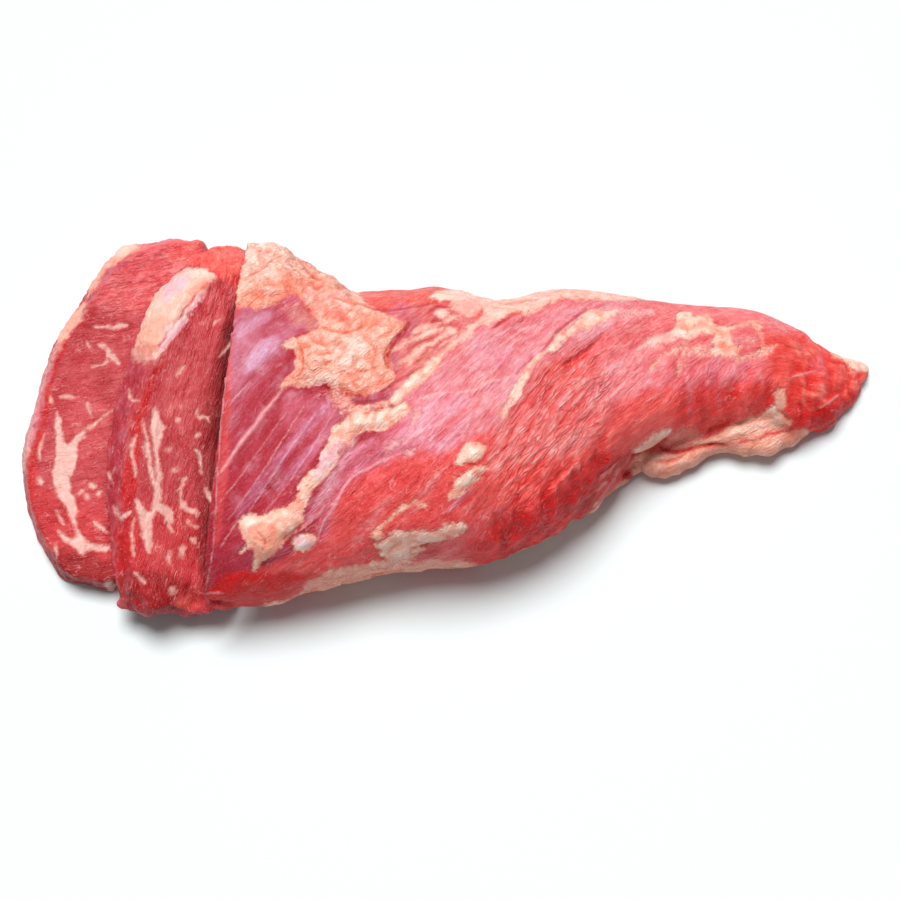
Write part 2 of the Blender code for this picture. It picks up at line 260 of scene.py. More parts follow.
def spot(x, y, wide, tall, turn=0):
    """An oval in the picture, turned anticlockwise by `turn` degrees."""
    angle = math.radians(turn)

    def reach(places):
        along = (places[:, 0] - x) * math.cos(angle) - (places[:, 1] - y) * math.sin(angle)
        across = (places[:, 0] - x) * math.sin(angle) + (places[:, 1] - y) * math.cos(angle)
        return (1 - np.hypot(along / wide, across / tall)) * min(wide, tall)
    return reach


# ---------------------------------------------------------- how the solids' outline gives way to the photo's
# A place in the picture, how far the meat there moves right and down, and how far that reaches, in pixels.
NUDGES = [
    ((219, 604), (0, 5), 14), ((256, 240), (0, 5), 14), ((296, 262), (0, 6), 12), ((338, 283), (0, -8), 20),
    ((486, 295), (0, 7), 24), ((690, 306), (0, -4), 40), ((745, 312), (0, -4), 36),
    ((576, 524), (0, -4), 9), ((597, 505), (0, 6), 10), ((638, 474), (0, -7), 11), ((684, 468), (0, 5), 15),
    ((716, 456), (0, 3), 10), ((768, 450), (0, 6), 20), ((797, 441), (0, 4), 12), ((856, 396), (0, 8), 10),
    ((866, 376), (7, 0), 13), ((60, 345), (-8, 0), 32), ((42, 388), (-3, 0), 24), ((27, 440), (-4, 0), 28),
    ((27, 490), (-4, 0), 30), ((52, 560), (4, 0), 18), ((121, 246), (0, -5), 15), ((121, 603), (-5, 9), 16),
    ((144, 614), (0, 4), 12), ((212, 250), (0, -8), 15), ((305, 598), (0, -4), 15),
    ((712, 462), (0, -6), 14),
]


# ---------------------------------------------------------- what the photograph shows on the big piece
# Each fat: how thick it stands and how far it frays, both in mm, how much it hides, and its shape.
BIG_FATS = {
    "cap": (1.0, 0.9, 1.0, patch(
        (228, 310), (228, 294), (237, 287), (241, 275), (244, 262), (243, 244), (250, 234), (262, 228),
        (278, 228), (291, 240), (300, 258), (310, 262), (322, 264), (338, 272), (352, 286), (362, 297),
        (372, 306), (386, 315), (400, 317), (410, 321), (404, 331), (399, 335), (394, 341), (389, 348),
        (386, 356), (390, 365), (395, 374), (396, 382), (382, 392), (362, 396), (352, 398), (340, 390),
        (330, 384), (310, 387), (297, 386), (281, 389), (285, 378), (290, 372), (295, 365), (295, 352),
        (284, 350), (279, 345), (288, 338), (300, 335), (312, 331), (318, 327), (314, 317), (305, 304),
        (295, 296), (284, 297), (273, 305), (259, 310), (246, 306), (236, 309))),
    "tangle c": (0.7, 0.9, 0.96, stroke(6, (438, 324), (452, 317), (468, 314), (482, 309))),
    "below the cap": (0.2, 1.4, 0.6, patch(
        (282, 308), (300, 303), (316, 316), (320, 328), (306, 330), (290, 324))),
    "cap foot": (0.5, 1.0, 0.8, patch(
        (326, 390), (340, 391), (354, 398), (352, 408), (342, 413), (331, 403))),
    "far roll": (0.8, 0.8, 1.0, patch(
        (424, 299), (436, 292), (446, 290), (470, 282), (520, 280), (570, 278), (640, 284), (656, 300),
        (625, 302), (605, 301), (562, 300), (545, 306), (530, 314), (515, 313), (500, 320), (490, 325),
        (480, 328), (470, 333), (463, 328), (476, 318), (483, 310), (470, 303), (452, 304), (438, 301))),
    "far knob": (1.0, 0.6, 1.0, patch(
        (446, 300), (462, 298), (482, 303), (483, 312), (476, 320), (464, 318), (450, 311))),
    "tangle a": (0.7, 1.0, 0.96, patch((436, 311), (446, 308), (450, 314), (444, 320), (437, 318))),
    "tangle b": (0.7, 1.0, 0.96, patch((443, 330), (449, 324), (458, 326), (460, 333), (448, 338))),
    "ridge": (1.3, 0.3, 1.0, patch(
        (388, 404), (391, 393), (399, 386), (409, 377), (418, 368), (430, 359), (438, 353), (444, 361),
        (435, 371), (428, 378), (418, 386), (408, 394), (400, 404))),
    "ridge far": (0.6, 0.5, 0.9, stroke(6, (434, 361), (448, 348), (462, 338), (474, 331))),
    "strand a": (0.8, 0.6, 0.96, stroke(6, (392, 352), (402, 345), (415, 339), (430, 333), (444, 329))),
    "strand b": (0.8, 0.6, 0.96, stroke(6, (398, 364), (410, 356), (425, 346), (440, 338), (458, 328))),
    "strand c": (0.6, 0.7, 0.93, stroke(5, (402, 371), (418, 358), (432, 349), (450, 341), (466, 332))),
    "strand d": (0.6, 0.7, 0.93, stroke(5, (412, 334), (424, 328), (440, 323), (456, 316))),
    "roll top": (0.8, 0.3, 1.0, stroke(6, (348, 411), (362, 407), (378, 405), (398, 403))),
    "roll": (1.3, 0.5, 1.0, patch(
        (396, 405), (402, 402), (411, 404), (407, 414), (398, 421), (390, 428), (380, 431), (365, 432),
        (352, 437), (344, 442), (337, 446), (335, 432), (340, 424), (348, 417), (354, 411), (372, 407),
        (390, 405))),
    "bit a": (0.2, 1.0, 0.85, stroke(6, (410, 428), (414, 420), (420, 411))),
    "bit b": (0.2, 1.0, 0.85, stroke(6, (396, 447), (404, 438), (412, 430))),
    "bit c": (0.2, 1.0, 0.8, stroke(6, (384, 452), (393, 445), (402, 440))),
    "bit d": (0.3, 1.0, 0.85, patch((403, 450), (411, 445), (418, 450), (412, 459), (404, 458))),
    "seam": (0.6, 1.1, 0.95, patch(
        (334, 428), (344, 424), (356, 430), (352, 442), (344, 450), (336, 458), (331, 466), (327, 477),
        (320, 483), (314, 491), (309, 501), (305, 512), (292, 514), (283, 507), (293, 500), (299, 493),
        (296, 486), (304, 479), (310, 473), (313, 465), (319, 456), (325, 446), (329, 437))),
    "low blob": (1.5, 0.4, 1.0, patch(
        (240, 520), (246, 515), (254, 513), (262, 516), (272, 511), (280, 507), (292, 507), (305, 515),
        (305, 522), (300, 527), (292, 535), (285, 539), (283, 548), (278, 553), (272, 557), (266, 561),
        (260, 566), (254, 575), (252, 565), (255, 555), (250, 545), (243, 538), (239, 527))),
    "low blob tongue": (0.8, 0.2, 1.0, stroke(5, (252, 541), (246, 547), (240, 554))),
    "whitish blob": (1.2, 0.4, 1.0, patch(
        (291, 543), (295, 536), (305, 533), (314, 534), (318, 541), (312, 549), (302, 552), (293, 549))),
    "low lobe": (0.8, 0.4, 1.0, spot(377, 535, 7, 5.5, -20)),
    "low patch": (0.5, 0.9, 1.0, patch(
        (380, 540), (392, 531), (402, 528), (420, 529), (437, 529), (446, 522), (458, 520), (470, 526),
        (458, 535), (442, 541), (428, 546), (416, 551), (412, 558), (408, 566), (395, 568), (384, 563),
        (386, 557), (379, 553), (374, 545))),
    "low streak": (0.6, 0.4, 1.0, stroke(6, (376, 531), (388, 520), (400, 509), (415, 501))),
    "low streak end": (0.5, 0.5, 0.9, stroke(4.5, (415, 504), (429, 507))),
    "near edge": (0.7, 0.5, 0.95, patch(
        (256, 616), (261, 605), (281, 601), (293, 597), (302, 591), (307, 582), (318, 576), (335, 568),
        (350, 567), (370, 562), (388, 559), (412, 563), (435, 558), (455, 557), (470, 562), (482, 566),
        (480, 590), (380, 600), (300, 622))),
    "upper blob": (1.0, 0.8, 1.0, patch(
        (453, 465), (457, 455), (462, 444), (467, 440), (473, 440), (485, 446), (487, 450), (482, 458),
        (474, 462), (464, 468))),
    "under blob": (0.8, 1.0, 0.95, patch(
        (450, 501), (447, 490), (456, 476), (464, 469), (473, 465), (491, 459), (490, 467), (484, 474),
        (479, 480), (468, 491), (456, 499))),
    "streak low": (0.6, 0.6, 1.0, patch(
        (527, 368), (531, 372), (527, 381), (523, 391), (520, 400), (512, 407), (509, 413), (506, 420),
        (501, 428), (498, 420), (500, 411), (505, 408), (509, 403), (512, 389), (516, 379), (521, 373))),
    "streak thin": (0.5, 0.4, 0.95, stroke(4.5, (520, 376), (530, 365), (538, 358), (547, 351))),
    "streak top": (0.6, 0.9, 0.95, patch(
        (543, 353), (552, 341), (558, 335), (565, 330), (578, 319), (588, 311), (605, 309), (624, 308),
        (612, 317), (596, 324), (588, 329), (570, 337), (562, 342), (556, 349), (550, 354))),
    "streak out": (0.3, 0.8, 0.5, stroke(6, (606, 313), (628, 311), (652, 312))),
    "tail patch": (0.3, 0.8, 0.95, patch(
        (678, 318), (677, 312), (683, 309), (697, 315), (707, 317), (716, 325), (721, 329), (706, 334),
        (694, 338), (684, 340), (671, 336), (675, 329))),
    "tail feather": (0.2, 1.4, 0.75, patch(
        (676, 336), (664, 334), (652, 337), (644, 341), (640, 351), (650, 350), (664, 345), (678, 342))),
    "tail blob": (0.3, 0.8, 0.95, patch(
        (717, 330), (723, 327), (729, 329), (732, 338), (739, 347), (742, 355), (734, 358), (720, 355),
        (708, 351), (715, 340))),
    "tail line a": (0.3, 0.6, 0.85, stroke(4, (688, 348), (706, 349), (724, 350))),
    "tail line b": (0.3, 0.6, 0.85, stroke(4, (690, 354), (710, 354), (738, 356))),
    "tail ring": (0.2, 0.8, 0.8, stroke(3, (738, 352), (741, 344), (748, 341), (757, 342))),
    "tail post": (0.3, 0.8, 0.82, stroke(4, (760, 333), (763, 344), (764, 352))),
    "tail band": (0.2, 1.0, 0.84, stroke(7, (724, 353), (746, 358), (764, 355), (776, 345))),
    "tail strand far": (0.4, 0.6, 0.9, stroke(5, (717, 328), (730, 327), (743, 325), (752, 322))),
    "tail block": (0.3, 0.6, 0.95, patch((749, 321), (762, 320), (764, 328), (756, 331), (749, 327))),
    "tail strand a": (0.3, 0.6, 0.84, stroke(4, (686, 340), (686, 350), (680, 362), (676, 380))),
    "tail strand b": (0.3, 0.6, 0.84, stroke(4, (652, 368), (664, 357), (672, 352), (684, 348))),
    "near spot": (0.7, 0.3, 1.0, patch(
        (774, 404), (775, 392), (779, 387), (786, 389), (788, 402), (784, 410), (776, 412))),
    "tip edge": (0.9, 0.3, 1.0, patch(
        (828, 350), (842, 354), (852, 356), (870, 364), (872, 372), (862, 373), (850, 369), (842, 361),
        (832, 357))),
    "sliver": (0.9, 0.1, 1.0, patch(
        (632, 454), (640, 444), (652, 435), (664, 429), (674, 427), (669, 436), (660, 444), (650, 451),
        (640, 455))),
    "brown piece": (0.5, 0.4, 0.6, patch(
        (662, 446), (668, 438), (680, 432), (696, 429), (706, 437), (702, 444), (690, 447), (676, 450))),
    "upper roll": (1.6, 0.2, 1.0, patch(
        (700, 438), (714, 436), (722, 430), (733, 422), (743, 416), (757, 415), (768, 410), (774, 403),
        (780, 408), (786, 417), (794, 421), (787, 428), (770, 432), (752, 438), (738, 442), (722, 444),
        (706, 446), (690, 449), (688, 444))),
    "lower roll": (1.8, 0.2, 1.0, patch(
        (628, 468), (638, 458), (650, 452), (670, 452), (690, 450), (715, 446), (740, 442), (765, 437),
        (785, 431), (798, 427), (812, 430), (800, 450), (780, 462), (720, 480), (680, 490), (650, 484),
        (634, 478))),
    "tan end": (0.8, 0.8, 1.0, patch(
        (584, 520), (592, 508), (602, 497), (614, 487), (628, 478), (640, 476), (632, 488), (616, 503),
        (598, 521))),
}

# Thin connective threads, almost flush with the lean: width in pixels and route.
BIG_THREADS = [
    stroke(2.4, (221, 472), (240, 445), (260, 418), (284, 387)),
    stroke(1.8, (228, 408), (240, 392), (251, 381)),
    stroke(1.8, (221, 548), (230, 533), (239, 519)),
    # Along the big piece's cut edge: a thin pale film, with a painted highlight on the edge.
    stroke(
        1.5, (228, 345), (226, 375), (222, 412), (219, 450), (217, 490), (214, 548), (208, 580),
        (203, 598)),
    stroke(
        2.6, (318, 541), (322, 525), (335, 503), (345, 484), (354, 476), (372, 466), (386, 459),
        (400, 454)),
    stroke(2.0, (299, 531), (315, 518), (326, 504)),
    stroke(2.6, (402, 446), (416, 434), (430, 428)),
    stroke(3.0, (420, 399), (430, 396), (443, 393)),
    stroke(3.0, (457, 393), (478, 390), (487, 382), (501, 380)),
    stroke(2.0, (485, 345), (500, 334), (520, 322)),
    stroke(2.2, (494, 352), (510, 338), (528, 326)),
    stroke(2.0, (499, 496), (505, 485), (520, 474), (534, 464), (539, 456)),
    stroke(1.8, (517, 493), (526, 485)),
    stroke(2.0, (567, 475), (577, 462)),
    stroke(2.6, (607, 401), (615, 393), (622, 385), (628, 378), (643, 367)),
    stroke(4.0, (637, 351), (646, 344), (661, 340)),
    stroke(2.0, (647, 401), (661, 393)),
    stroke(2.0, (599, 481), (608, 471), (619, 462)),
    stroke(1.8, (595, 491), (606, 481)),
    stroke(2.0, (788, 379), (803, 373), (817, 371)),
    stroke(2.2, (821, 409), (834, 398), (841, 394)),
    stroke(1.8, (449, 512), (456, 500), (470, 488)),
    stroke(2.0, (487, 461), (494, 455), (501, 449)),
    stroke(1.8, (204, 595), (213, 592), (224, 593)),
]

# The film on the left is ruled with finer lines along the grain.
BIG_THREADS += [
    stroke(0.9 + 0.3 * (k % 3), (x - 60, 516 + 5 * (k % 3)), (x - 24, 470), (x + 16, 412 - 6 * (k % 2)))
    for k, x in enumerate((270, 288, 300, 322))
]

# Lines, dabs and small patches of colour on the lean: colour, softness in pixels, strength and shape.
BIG_LINES = [
    (SOFT_LILAC, 5, 0.9, stroke(9, (238, 515), (262, 482), (282, 456), (300, 435), (320, 412), (336, 394))),
    (SOFT_LILAC, 5, 0.85, stroke(7, (279, 489), (300, 462), (320, 438), (339, 416))),
    (PURPLE, 10, 0.5, stroke(14, (246, 506), (266, 480), (284, 458))),
    (PALE_LILAC, 5, 0.85, stroke(8, (308, 522), (320, 500), (334, 476), (350, 454), (372, 440))),
    (PALE_LILAC, 4, 0.6, stroke(4, (324, 524), (336, 500), (352, 474), (376, 454))),
    (PALE_LILAC, 4, 0.5, stroke(4, (302, 470), (314, 452), (326, 436))),
    (FILM_PINK, 3, 0.6, stroke(5, (221, 472), (240, 445), (260, 418), (284, 387))),
    # Silver skin with a painted sheen on it.
    (LILAC_SHEEN, 9, 0.85, stroke(15, (248, 370), (260, 354), (276, 340))),
    (DARK_ROSE, 6, 0.5, stroke(6, (232, 398), (250, 378), (272, 356), (290, 346))),
    # Silver skin with a painted sheen on it.
    (LILAC_SHEEN, 8, 0.6, stroke(8, (236, 336), (252, 322), (270, 314))),
    (BRIGHT_RED, 5, 0.4, stroke(9, (230, 340), (228, 380), (226, 420), (224, 460), (221, 500), (217, 545))),
    (PALE_LILAC, 8, 0.6, stroke(12, (396, 398), (410, 392), (424, 392))),
    (PALE_LILAC, 8, 0.6, stroke(10, (498, 366), (504, 358), (510, 350))),
    (PALE_PINK, 8, 0.6, stroke(11, (474, 386), (486, 378), (496, 370))),
    (PALE_PINK, 10, 0.5, stroke(9, (430, 372), (452, 356), (474, 342), (500, 330))),
    (PALE_PINK, 8, 0.45, stroke(7, (456, 416), (480, 400), (500, 390))),
    (STREAK_RED, 8, 0.55, stroke(9, (436, 440), (450, 424), (466, 408))),
    (PALE_LILAC, 8, 0.5, stroke(12, (388, 446), (404, 424), (418, 410))),
    (LILAC, 8, 0.6, stroke(10, (356, 464), (376, 454), (396, 446))),
    (LILAC_FAT, 8, 0.5, stroke(10, (356, 436), (342, 456), (332, 480), (318, 506))),
    (PALE_PINK, 7, 0.6, stroke(9, (560, 350), (584, 334), (610, 322), (650, 312))),
    (TAIL_TOP, 8, 0.6, stroke(9, (560, 362), (590, 344), (620, 330), (660, 320))),
    (BRIGHT_RED, 8, 0.7, stroke(12, (548, 372), (566, 360), (590, 354))),
    (STREAK_RED, 6, 0.6, stroke(6, (529, 384), (538, 374), (548, 366))),
    (STREAK_RED, 6, 0.65, stroke(5, (522, 421), (528, 412), (533, 402), (538, 393), (544, 382))),
    (STREAK_RED, 5, 0.6, stroke(5, (504, 451), (508, 440), (518, 424), (525, 413))),
    (STREAK_RED, 5, 0.6, stroke(5, (519, 456), (524, 440), (530, 428), (543, 411))),
    (STREAK_RED, 5, 0.55, stroke(5, (547, 401), (554, 386), (561, 376), (571, 361))),
    (STREAK_RED, 5, 0.5, stroke(5, (540, 449), (546, 429), (552, 412))),
    (STREAK_RED, 5, 0.5, stroke(5, (556, 444), (563, 424), (570, 404), (577, 388))),
    (STREAK_RED, 5, 0.5, stroke(5, (572, 432), (578, 414), (584, 398))),
    (PALE_PINK, 6, 0.45, stroke(6, (536, 424), (546, 404), (556, 388))),
    (PALE_PINK, 6, 0.4, stroke(6, (560, 412), (568, 394), (576, 378))),
    (PALE_PINK, 6, 0.4, stroke(6, (512, 440), (522, 424), (532, 410))),
    (PALE_PINK, 6, 0.5, spot(573, 440, 7, 6, 40)),
    (PALE_PINK, 6, 0.4, spot(555, 448, 8, 5, 30)),
    (PALE_PINK, 10, 0.4, stroke(12, (592, 402), (598, 388), (606, 376))),
    (PALE_PINK, 8, 0.5, stroke(10, (604, 398), (612, 382), (622, 366))),
    (PALE_PINK, 8, 0.4, stroke(9, (614, 370), (622, 362), (630, 356))),
    (PALE_PINK, 8, 0.4, spot(653, 382, 8, 6)),
    (PALE_LILAC, 8, 0.55, stroke(10, (711, 384), (714, 368), (718, 356))),
    (PALE_LILAC, 6, 0.5, stroke(8, (744, 372), (745, 364), (748, 358))),
    (TAIL_PINK, 6, 0.7, stroke(5, (691, 420), (690, 400), (690, 380))),
    (TAIL_PINK, 6, 0.6, stroke(6, (720, 410), (718, 392), (718, 374))),
    (SHADE_RED, 6, 0.45, stroke(5, (684, 424), (682, 402), (684, 380))),
    (SHADE_RED, 6, 0.4, stroke(6, (703, 426), (702, 404), (704, 382))),
    (SHADE_RED, 10, 0.3, stroke(14, (750, 408), (760, 394), (772, 384))),
    (TAIL_TOP, 10, 0.6, stroke(14, (690, 314), (720, 316), (758, 322), (780, 330))),
    (PALE_PINK, 8, 0.5, spot(820, 364, 8, 7, -30)),
    (TIP_VEIN, 3, 0.7, stroke(
        3, (801, 378), (807, 386), (803, 395), (806, 408), (813, 412), (820, 408), (824, 400))),
    (TIP_VEIN, 3, 0.6, stroke(3, (803, 396), (813, 393), (824, 399), (834, 404), (842, 398))),
    (TIP_VEIN, 4, 0.7, spot(822, 393, 5, 6)),
    (TIP_VEIN, 3, 0.5, stroke(3, (786, 384), (796, 378), (806, 374), (820, 372), (832, 378))),
    (SHADE_RED, 5, 0.5, spot(814, 402, 6, 5)),
    (SHADE_RED, 5, 0.45, spot(832, 414, 9, 5, 30)),
    (SHADE_RED, 6, 0.4, spot(834, 388, 9, 5, 20)),
    (SHADE_RED, 12, 0.4, spot(796, 412, 12, 12)),
    (TIP_VEIN, 8, 0.5, spot(802, 350, 12, 6, -30)),
    (TIP_VEIN, 6, 0.5, stroke(5, (842, 366), (852, 374), (862, 384))),
    (SHADE_RED, 8, 0.6, patch(
        (812, 412), (820, 406), (834, 404), (844, 396), (846, 408), (832, 426), (814, 428))),
    (PALE_LILAC, 6, 0.5, stroke(8, (448, 512), (458, 500), (470, 490))),
    (PINK_TAN, 3, 0.7, stroke(2.4, (642, 452), (624, 474), (602, 502))),
    (PINK_TAN, 3, 0.6, stroke(2.0, (630, 458), (612, 478), (594, 506))),
    (PINK_TAN, 3, 0.5, stroke(2.0, (638, 466), (622, 484), (608, 500))),
    (SHADE_RED, 7, 0.6, spot(425, 553, 15, 7, 10)),
    (CORAL, 5, 0.7, spot(494, 520, 7, 5, 30)),
    (PALE_PINK, 8, 0.4, stroke(8, (352, 548), (372, 520), (392, 496))),
    (STREAK_RED, 8, 0.45, stroke(8, (352, 520), (368, 500), (388, 480))),
    (STREAK_RED, 8, 0.4, stroke(8, (420, 520), (440, 500), (452, 480))),
    (PALE_PINK, 8, 0.35, stroke(9, (404, 520), (424, 496), (440, 470))),
    (CORNER_RED, 4, 0.85, patch(
        (203, 595), (215, 593), (233, 593), (240, 598), (235, 603), (224, 604), (203, 601))),
]

# Broad washes of lean and film, laid on before those: colour, softness in pixels, strength and shape.
BIG_WASHES = [
    (DEEP_ROSE, 12, 1.0, patch(
        (180, 640), (200, 560), (222, 380), (236, 296), (300, 300), (330, 330), (400, 390), (392, 425),
        (350, 470), (322, 520), (290, 560), (240, 640))),
    (LILAC, 16, 0.85, patch(
        (228, 302), (290, 306), (316, 322), (290, 344), (270, 364), (250, 392), (226, 404))),
    (DEEP_ROSE, 10, 0.6, stroke(14, (256, 340), (272, 322), (292, 306))),
    (PINK_TAN, 14, 0.9, patch(
        (388, 300), (440, 300), (480, 316), (460, 340), (430, 362), (396, 396), (384, 376))),
    (PURPLE, 10, 0.5, patch(
        (384, 340), (400, 322), (424, 312), (416, 334), (400, 352), (392, 380), (384, 376))),
    (MAUVE, 12, 0.5, patch((286, 392), (330, 396), (340, 412), (316, 440), (290, 436), (278, 414))),
    (DARK_ROSE, 12, 0.5, patch(
        (236, 440), (262, 404), (292, 356), (300, 366), (286, 400), (254, 440), (226, 480))),
    (MAUVE, 10, 0.8, patch(
        (312, 534), (322, 508), (340, 480), (352, 455), (372, 440), (400, 420), (440, 400), (452, 420),
        (420, 448), (390, 458), (362, 472), (342, 494), (330, 520), (318, 545))),
    (FILM_PINK, 18, 1.0, patch(
        (392, 388), (440, 352), (500, 318), (570, 298), (650, 296), (620, 320), (590, 345), (556, 362),
        (528, 384), (514, 412), (480, 440), (450, 448), (420, 440), (405, 420))),
    (FILM_LILAC, 16, 0.7, patch((400, 440), (420, 404), (440, 392), (470, 396), (470, 430), (440, 452))),
    (LEAN_RED, 9, 1.0, patch(
        (334, 532), (342, 508), (354, 488), (368, 470), (390, 460), (404, 455), (430, 462), (452, 452),
        (470, 440), (498, 430), (505, 470), (480, 520), (440, 545), (380, 570), (320, 580), (262, 604),
        (215, 612), (225, 580), (262, 570), (292, 556))),
    (BULGE_RED, 14, 0.95, patch(
        (494, 440), (510, 410), (524, 388), (544, 366), (570, 350), (600, 340), (604, 360), (612, 400),
        (600, 440), (580, 466), (540, 486), (506, 490), (490, 470))),
    (BRIGHT_RED, 16, 0.9, patch(
        (490, 474), (520, 462), (560, 458), (590, 448), (620, 420), (640, 440), (620, 468), (580, 490),
        (540, 504), (500, 510), (480, 500))),
    (TAIL_TOP, 14, 1.0, patch(
        (580, 350), (610, 330), (650, 306), (700, 306), (760, 312), (800, 330), (790, 350), (740, 344),
        (690, 344), (650, 352), (610, 362), (590, 372))),
    (RIGHT_PINK, 16, 0.9, patch(
        (586, 398), (600, 362), (640, 346), (676, 346), (668, 370), (640, 388), (612, 410))),
    (TAIL_PINK, 16, 0.9, patch(
        (660, 364), (690, 346), (740, 352), (752, 368), (730, 384), (700, 388), (660, 392))),
    (BRIGHT_RED, 18, 0.85, patch(
        (600, 428), (620, 402), (650, 388), (680, 388), (690, 420), (660, 440), (620, 462), (590, 470))),
    (TAIL_RED, 16, 1.0, patch(
        (672, 400), (700, 388), (740, 382), (772, 384), (786, 400), (780, 420), (730, 430), (690, 440),
        (672, 424))),
    (TIP_RED, 14, 0.95, patch(
        (760, 334), (790, 332), (830, 344), (872, 372), (860, 400), (820, 440), (790, 430), (780, 400),
        (770, 372), (758, 354))),
    (CORAL, 3, 1.0, patch(
        (326, 270), (360, 270), (395, 270), (440, 270), (466, 290), (440, 300), (412, 304), (384, 308),
        (366, 306), (350, 300))),
    (MAUVE, 8, 0.9, spot(294, 301, 14, 9, 30)),
    (MAUVE, 6, 0.7, patch((384, 308), (400, 303), (412, 305), (408, 318), (392, 320))),
    # Painted shade on the near flank.
    (FLANK_SHADE_RED, 18, 0.95, patch(
        (440, 590), (462, 552), (480, 536), (520, 508), (570, 482), (600, 458), (640, 450), (620, 500),
        (580, 530), (520, 580))),
    (SHADE_RED, 16, 0.7, patch((560, 540), (566, 516), (596, 478), (640, 448), (650, 480), (600, 530))),
    # Painted shade in the crease at the flap's left end.
    (CREASE_SHADE_RED, 9, 0.95, patch(
        (582, 518), (590, 496), (606, 472), (628, 454), (640, 452), (642, 476), (622, 486), (604, 506))),
    (CORNER_RED, 10, 0.95, patch(
        (200, 616), (206, 588), (230, 574), (258, 574), (300, 574), (316, 572), (306, 586), (286, 604),
        (250, 618))),
    # Painted shade on the tip's near side.
    (FLANK_SHADE_RED, 10, 0.75, patch(
        (786, 430), (800, 412), (826, 414), (860, 386), (870, 392), (850, 415), (820, 444), (796, 444))),
    (DARK_ROSE, 6, 0.6, patch(
        (196, 606), (206, 560), (218, 440), (228, 340), (232, 340), (224, 440), (213, 560), (206, 600))),
]

# Washes on the fat itself.
BIG_FAT_WASHES = [
    (PEACH, 12, 0.55, patch(
        (220, 220), (300, 220), (420, 310), (400, 400), (340, 400), (270, 390), (290, 330), (220, 320))),
    (PALE_FAT, 16, 0.9, spot(266, 258, 26, 24)),
    (APRICOT, 12, 0.8, patch(
        (280, 276), (304, 278), (330, 284), (338, 294), (316, 300), (290, 298), (276, 290))),
    (PINK_FAT, 12, 0.6, patch((306, 292), (330, 286), (352, 300), (348, 320), (322, 322), (306, 310))),
    (CORAL_FAT, 6, 0.8, spot(338, 315, 9, 5, -20)),
    (APRICOT, 8, 0.6, spot(254, 298, 18, 9, 10)),
    (BROWN_FAT, 8, 0.7, patch((280, 308), (300, 304), (318, 318), (318, 330), (300, 328), (284, 322))),
    (PALE_FAT, 12, 0.7, spot(350, 350, 22, 18)),
    (PALE_FAT, 8, 0.8, spot(320, 377, 12, 8)),
    (APRICOT, 8, 0.5, spot(306, 352, 8, 12)),
    (APRICOT, 8, 0.6, spot(402, 326, 10, 7, 30)),
    (CORAL_FAT, 5, 0.6, stroke(6, (386, 382), (372, 390), (356, 397))),
    (LILAC_FAT, 5, 0.7, spot(322, 388, 11, 4)),
    (CORAL_FAT, 8, 0.85, patch((446, 300), (462, 298), (482, 303), (483, 312), (470, 316), (450, 311))),
    (PINK_FAT, 8, 0.7, patch(
        (388, 340), (420, 318), (440, 306), (456, 306), (486, 304), (486, 330), (440, 350), (398, 374))),
    (CORAL_FAT, 4, 0.9, spot(476, 316, 6, 4, 30)),
    (PINK_FAT, 12, 0.55, patch((440, 276), (660, 272), (655, 306), (560, 306), (490, 332), (460, 332))),
    (PALE_FAT, 8, 0.7, spot(460, 296, 20, 5)),
    (APRICOT, 6, 0.5, patch((392, 404), (400, 395), (408, 389), (404, 400))),
    (LILAC_FAT, 10, 0.85, patch(
        (312, 482), (318, 462), (328, 446), (340, 438), (348, 446), (336, 462), (326, 482))),
    (CREAM, 6, 0.6, spot(310, 486, 9, 6)),
    (LILAC_FAT, 8, 0.8, patch((384, 452), (410, 424), (424, 410), (424, 440), (412, 462), (398, 460))),
    (APRICOT, 9, 0.85, spot(268, 538, 17, 15)),
    # A painted highlight along the low blob's top edge.
    (PALE_FAT, 6, 0.45, stroke(6, (244, 520), (262, 520), (280, 513), (300, 518))),
    (BROWN_FAT, 8, 0.35, spot(262, 556, 10, 12)),
    (LILAC_FAT, 6, 0.6, spot(304, 542, 13, 8)),
    (PINK_FAT, 10, 0.4, patch(
        (376, 544), (396, 528), (440, 526), (470, 522), (460, 538), (420, 548), (400, 552))),
    (PEACH, 12, 0.75, patch((258, 622), (310, 578), (380, 560), (482, 556), (480, 590), (300, 622))),
    (FLAP_FAT, 14, 0.9, patch(
        (582, 520), (612, 478), (640, 440), (690, 426), (740, 406), (815, 424), (800, 480), (660, 500))),
    (CREAM, 8, 0.6, patch((726, 432), (744, 424), (770, 420), (786, 426), (776, 442), (748, 440))),
    # A painted highlight on the lower roll.
    (CREAM, 6, 0.5, spot(664, 456, 10, 4, 5)),
    # A painted highlight on the sliver.
    (PALE_FAT, 4, 0.6, stroke(5, (638, 450), (652, 438), (670, 429))),
    (BROWN_FAT, 8, 0.75, patch((662, 448), (668, 438), (682, 432), (692, 434), (682, 448))),
    (CORAL_FAT, 8, 0.6, spot(797, 434, 10, 7)),
    (CORAL_FAT, 4, 0.6, spot(721, 346, 5, 4)),
]

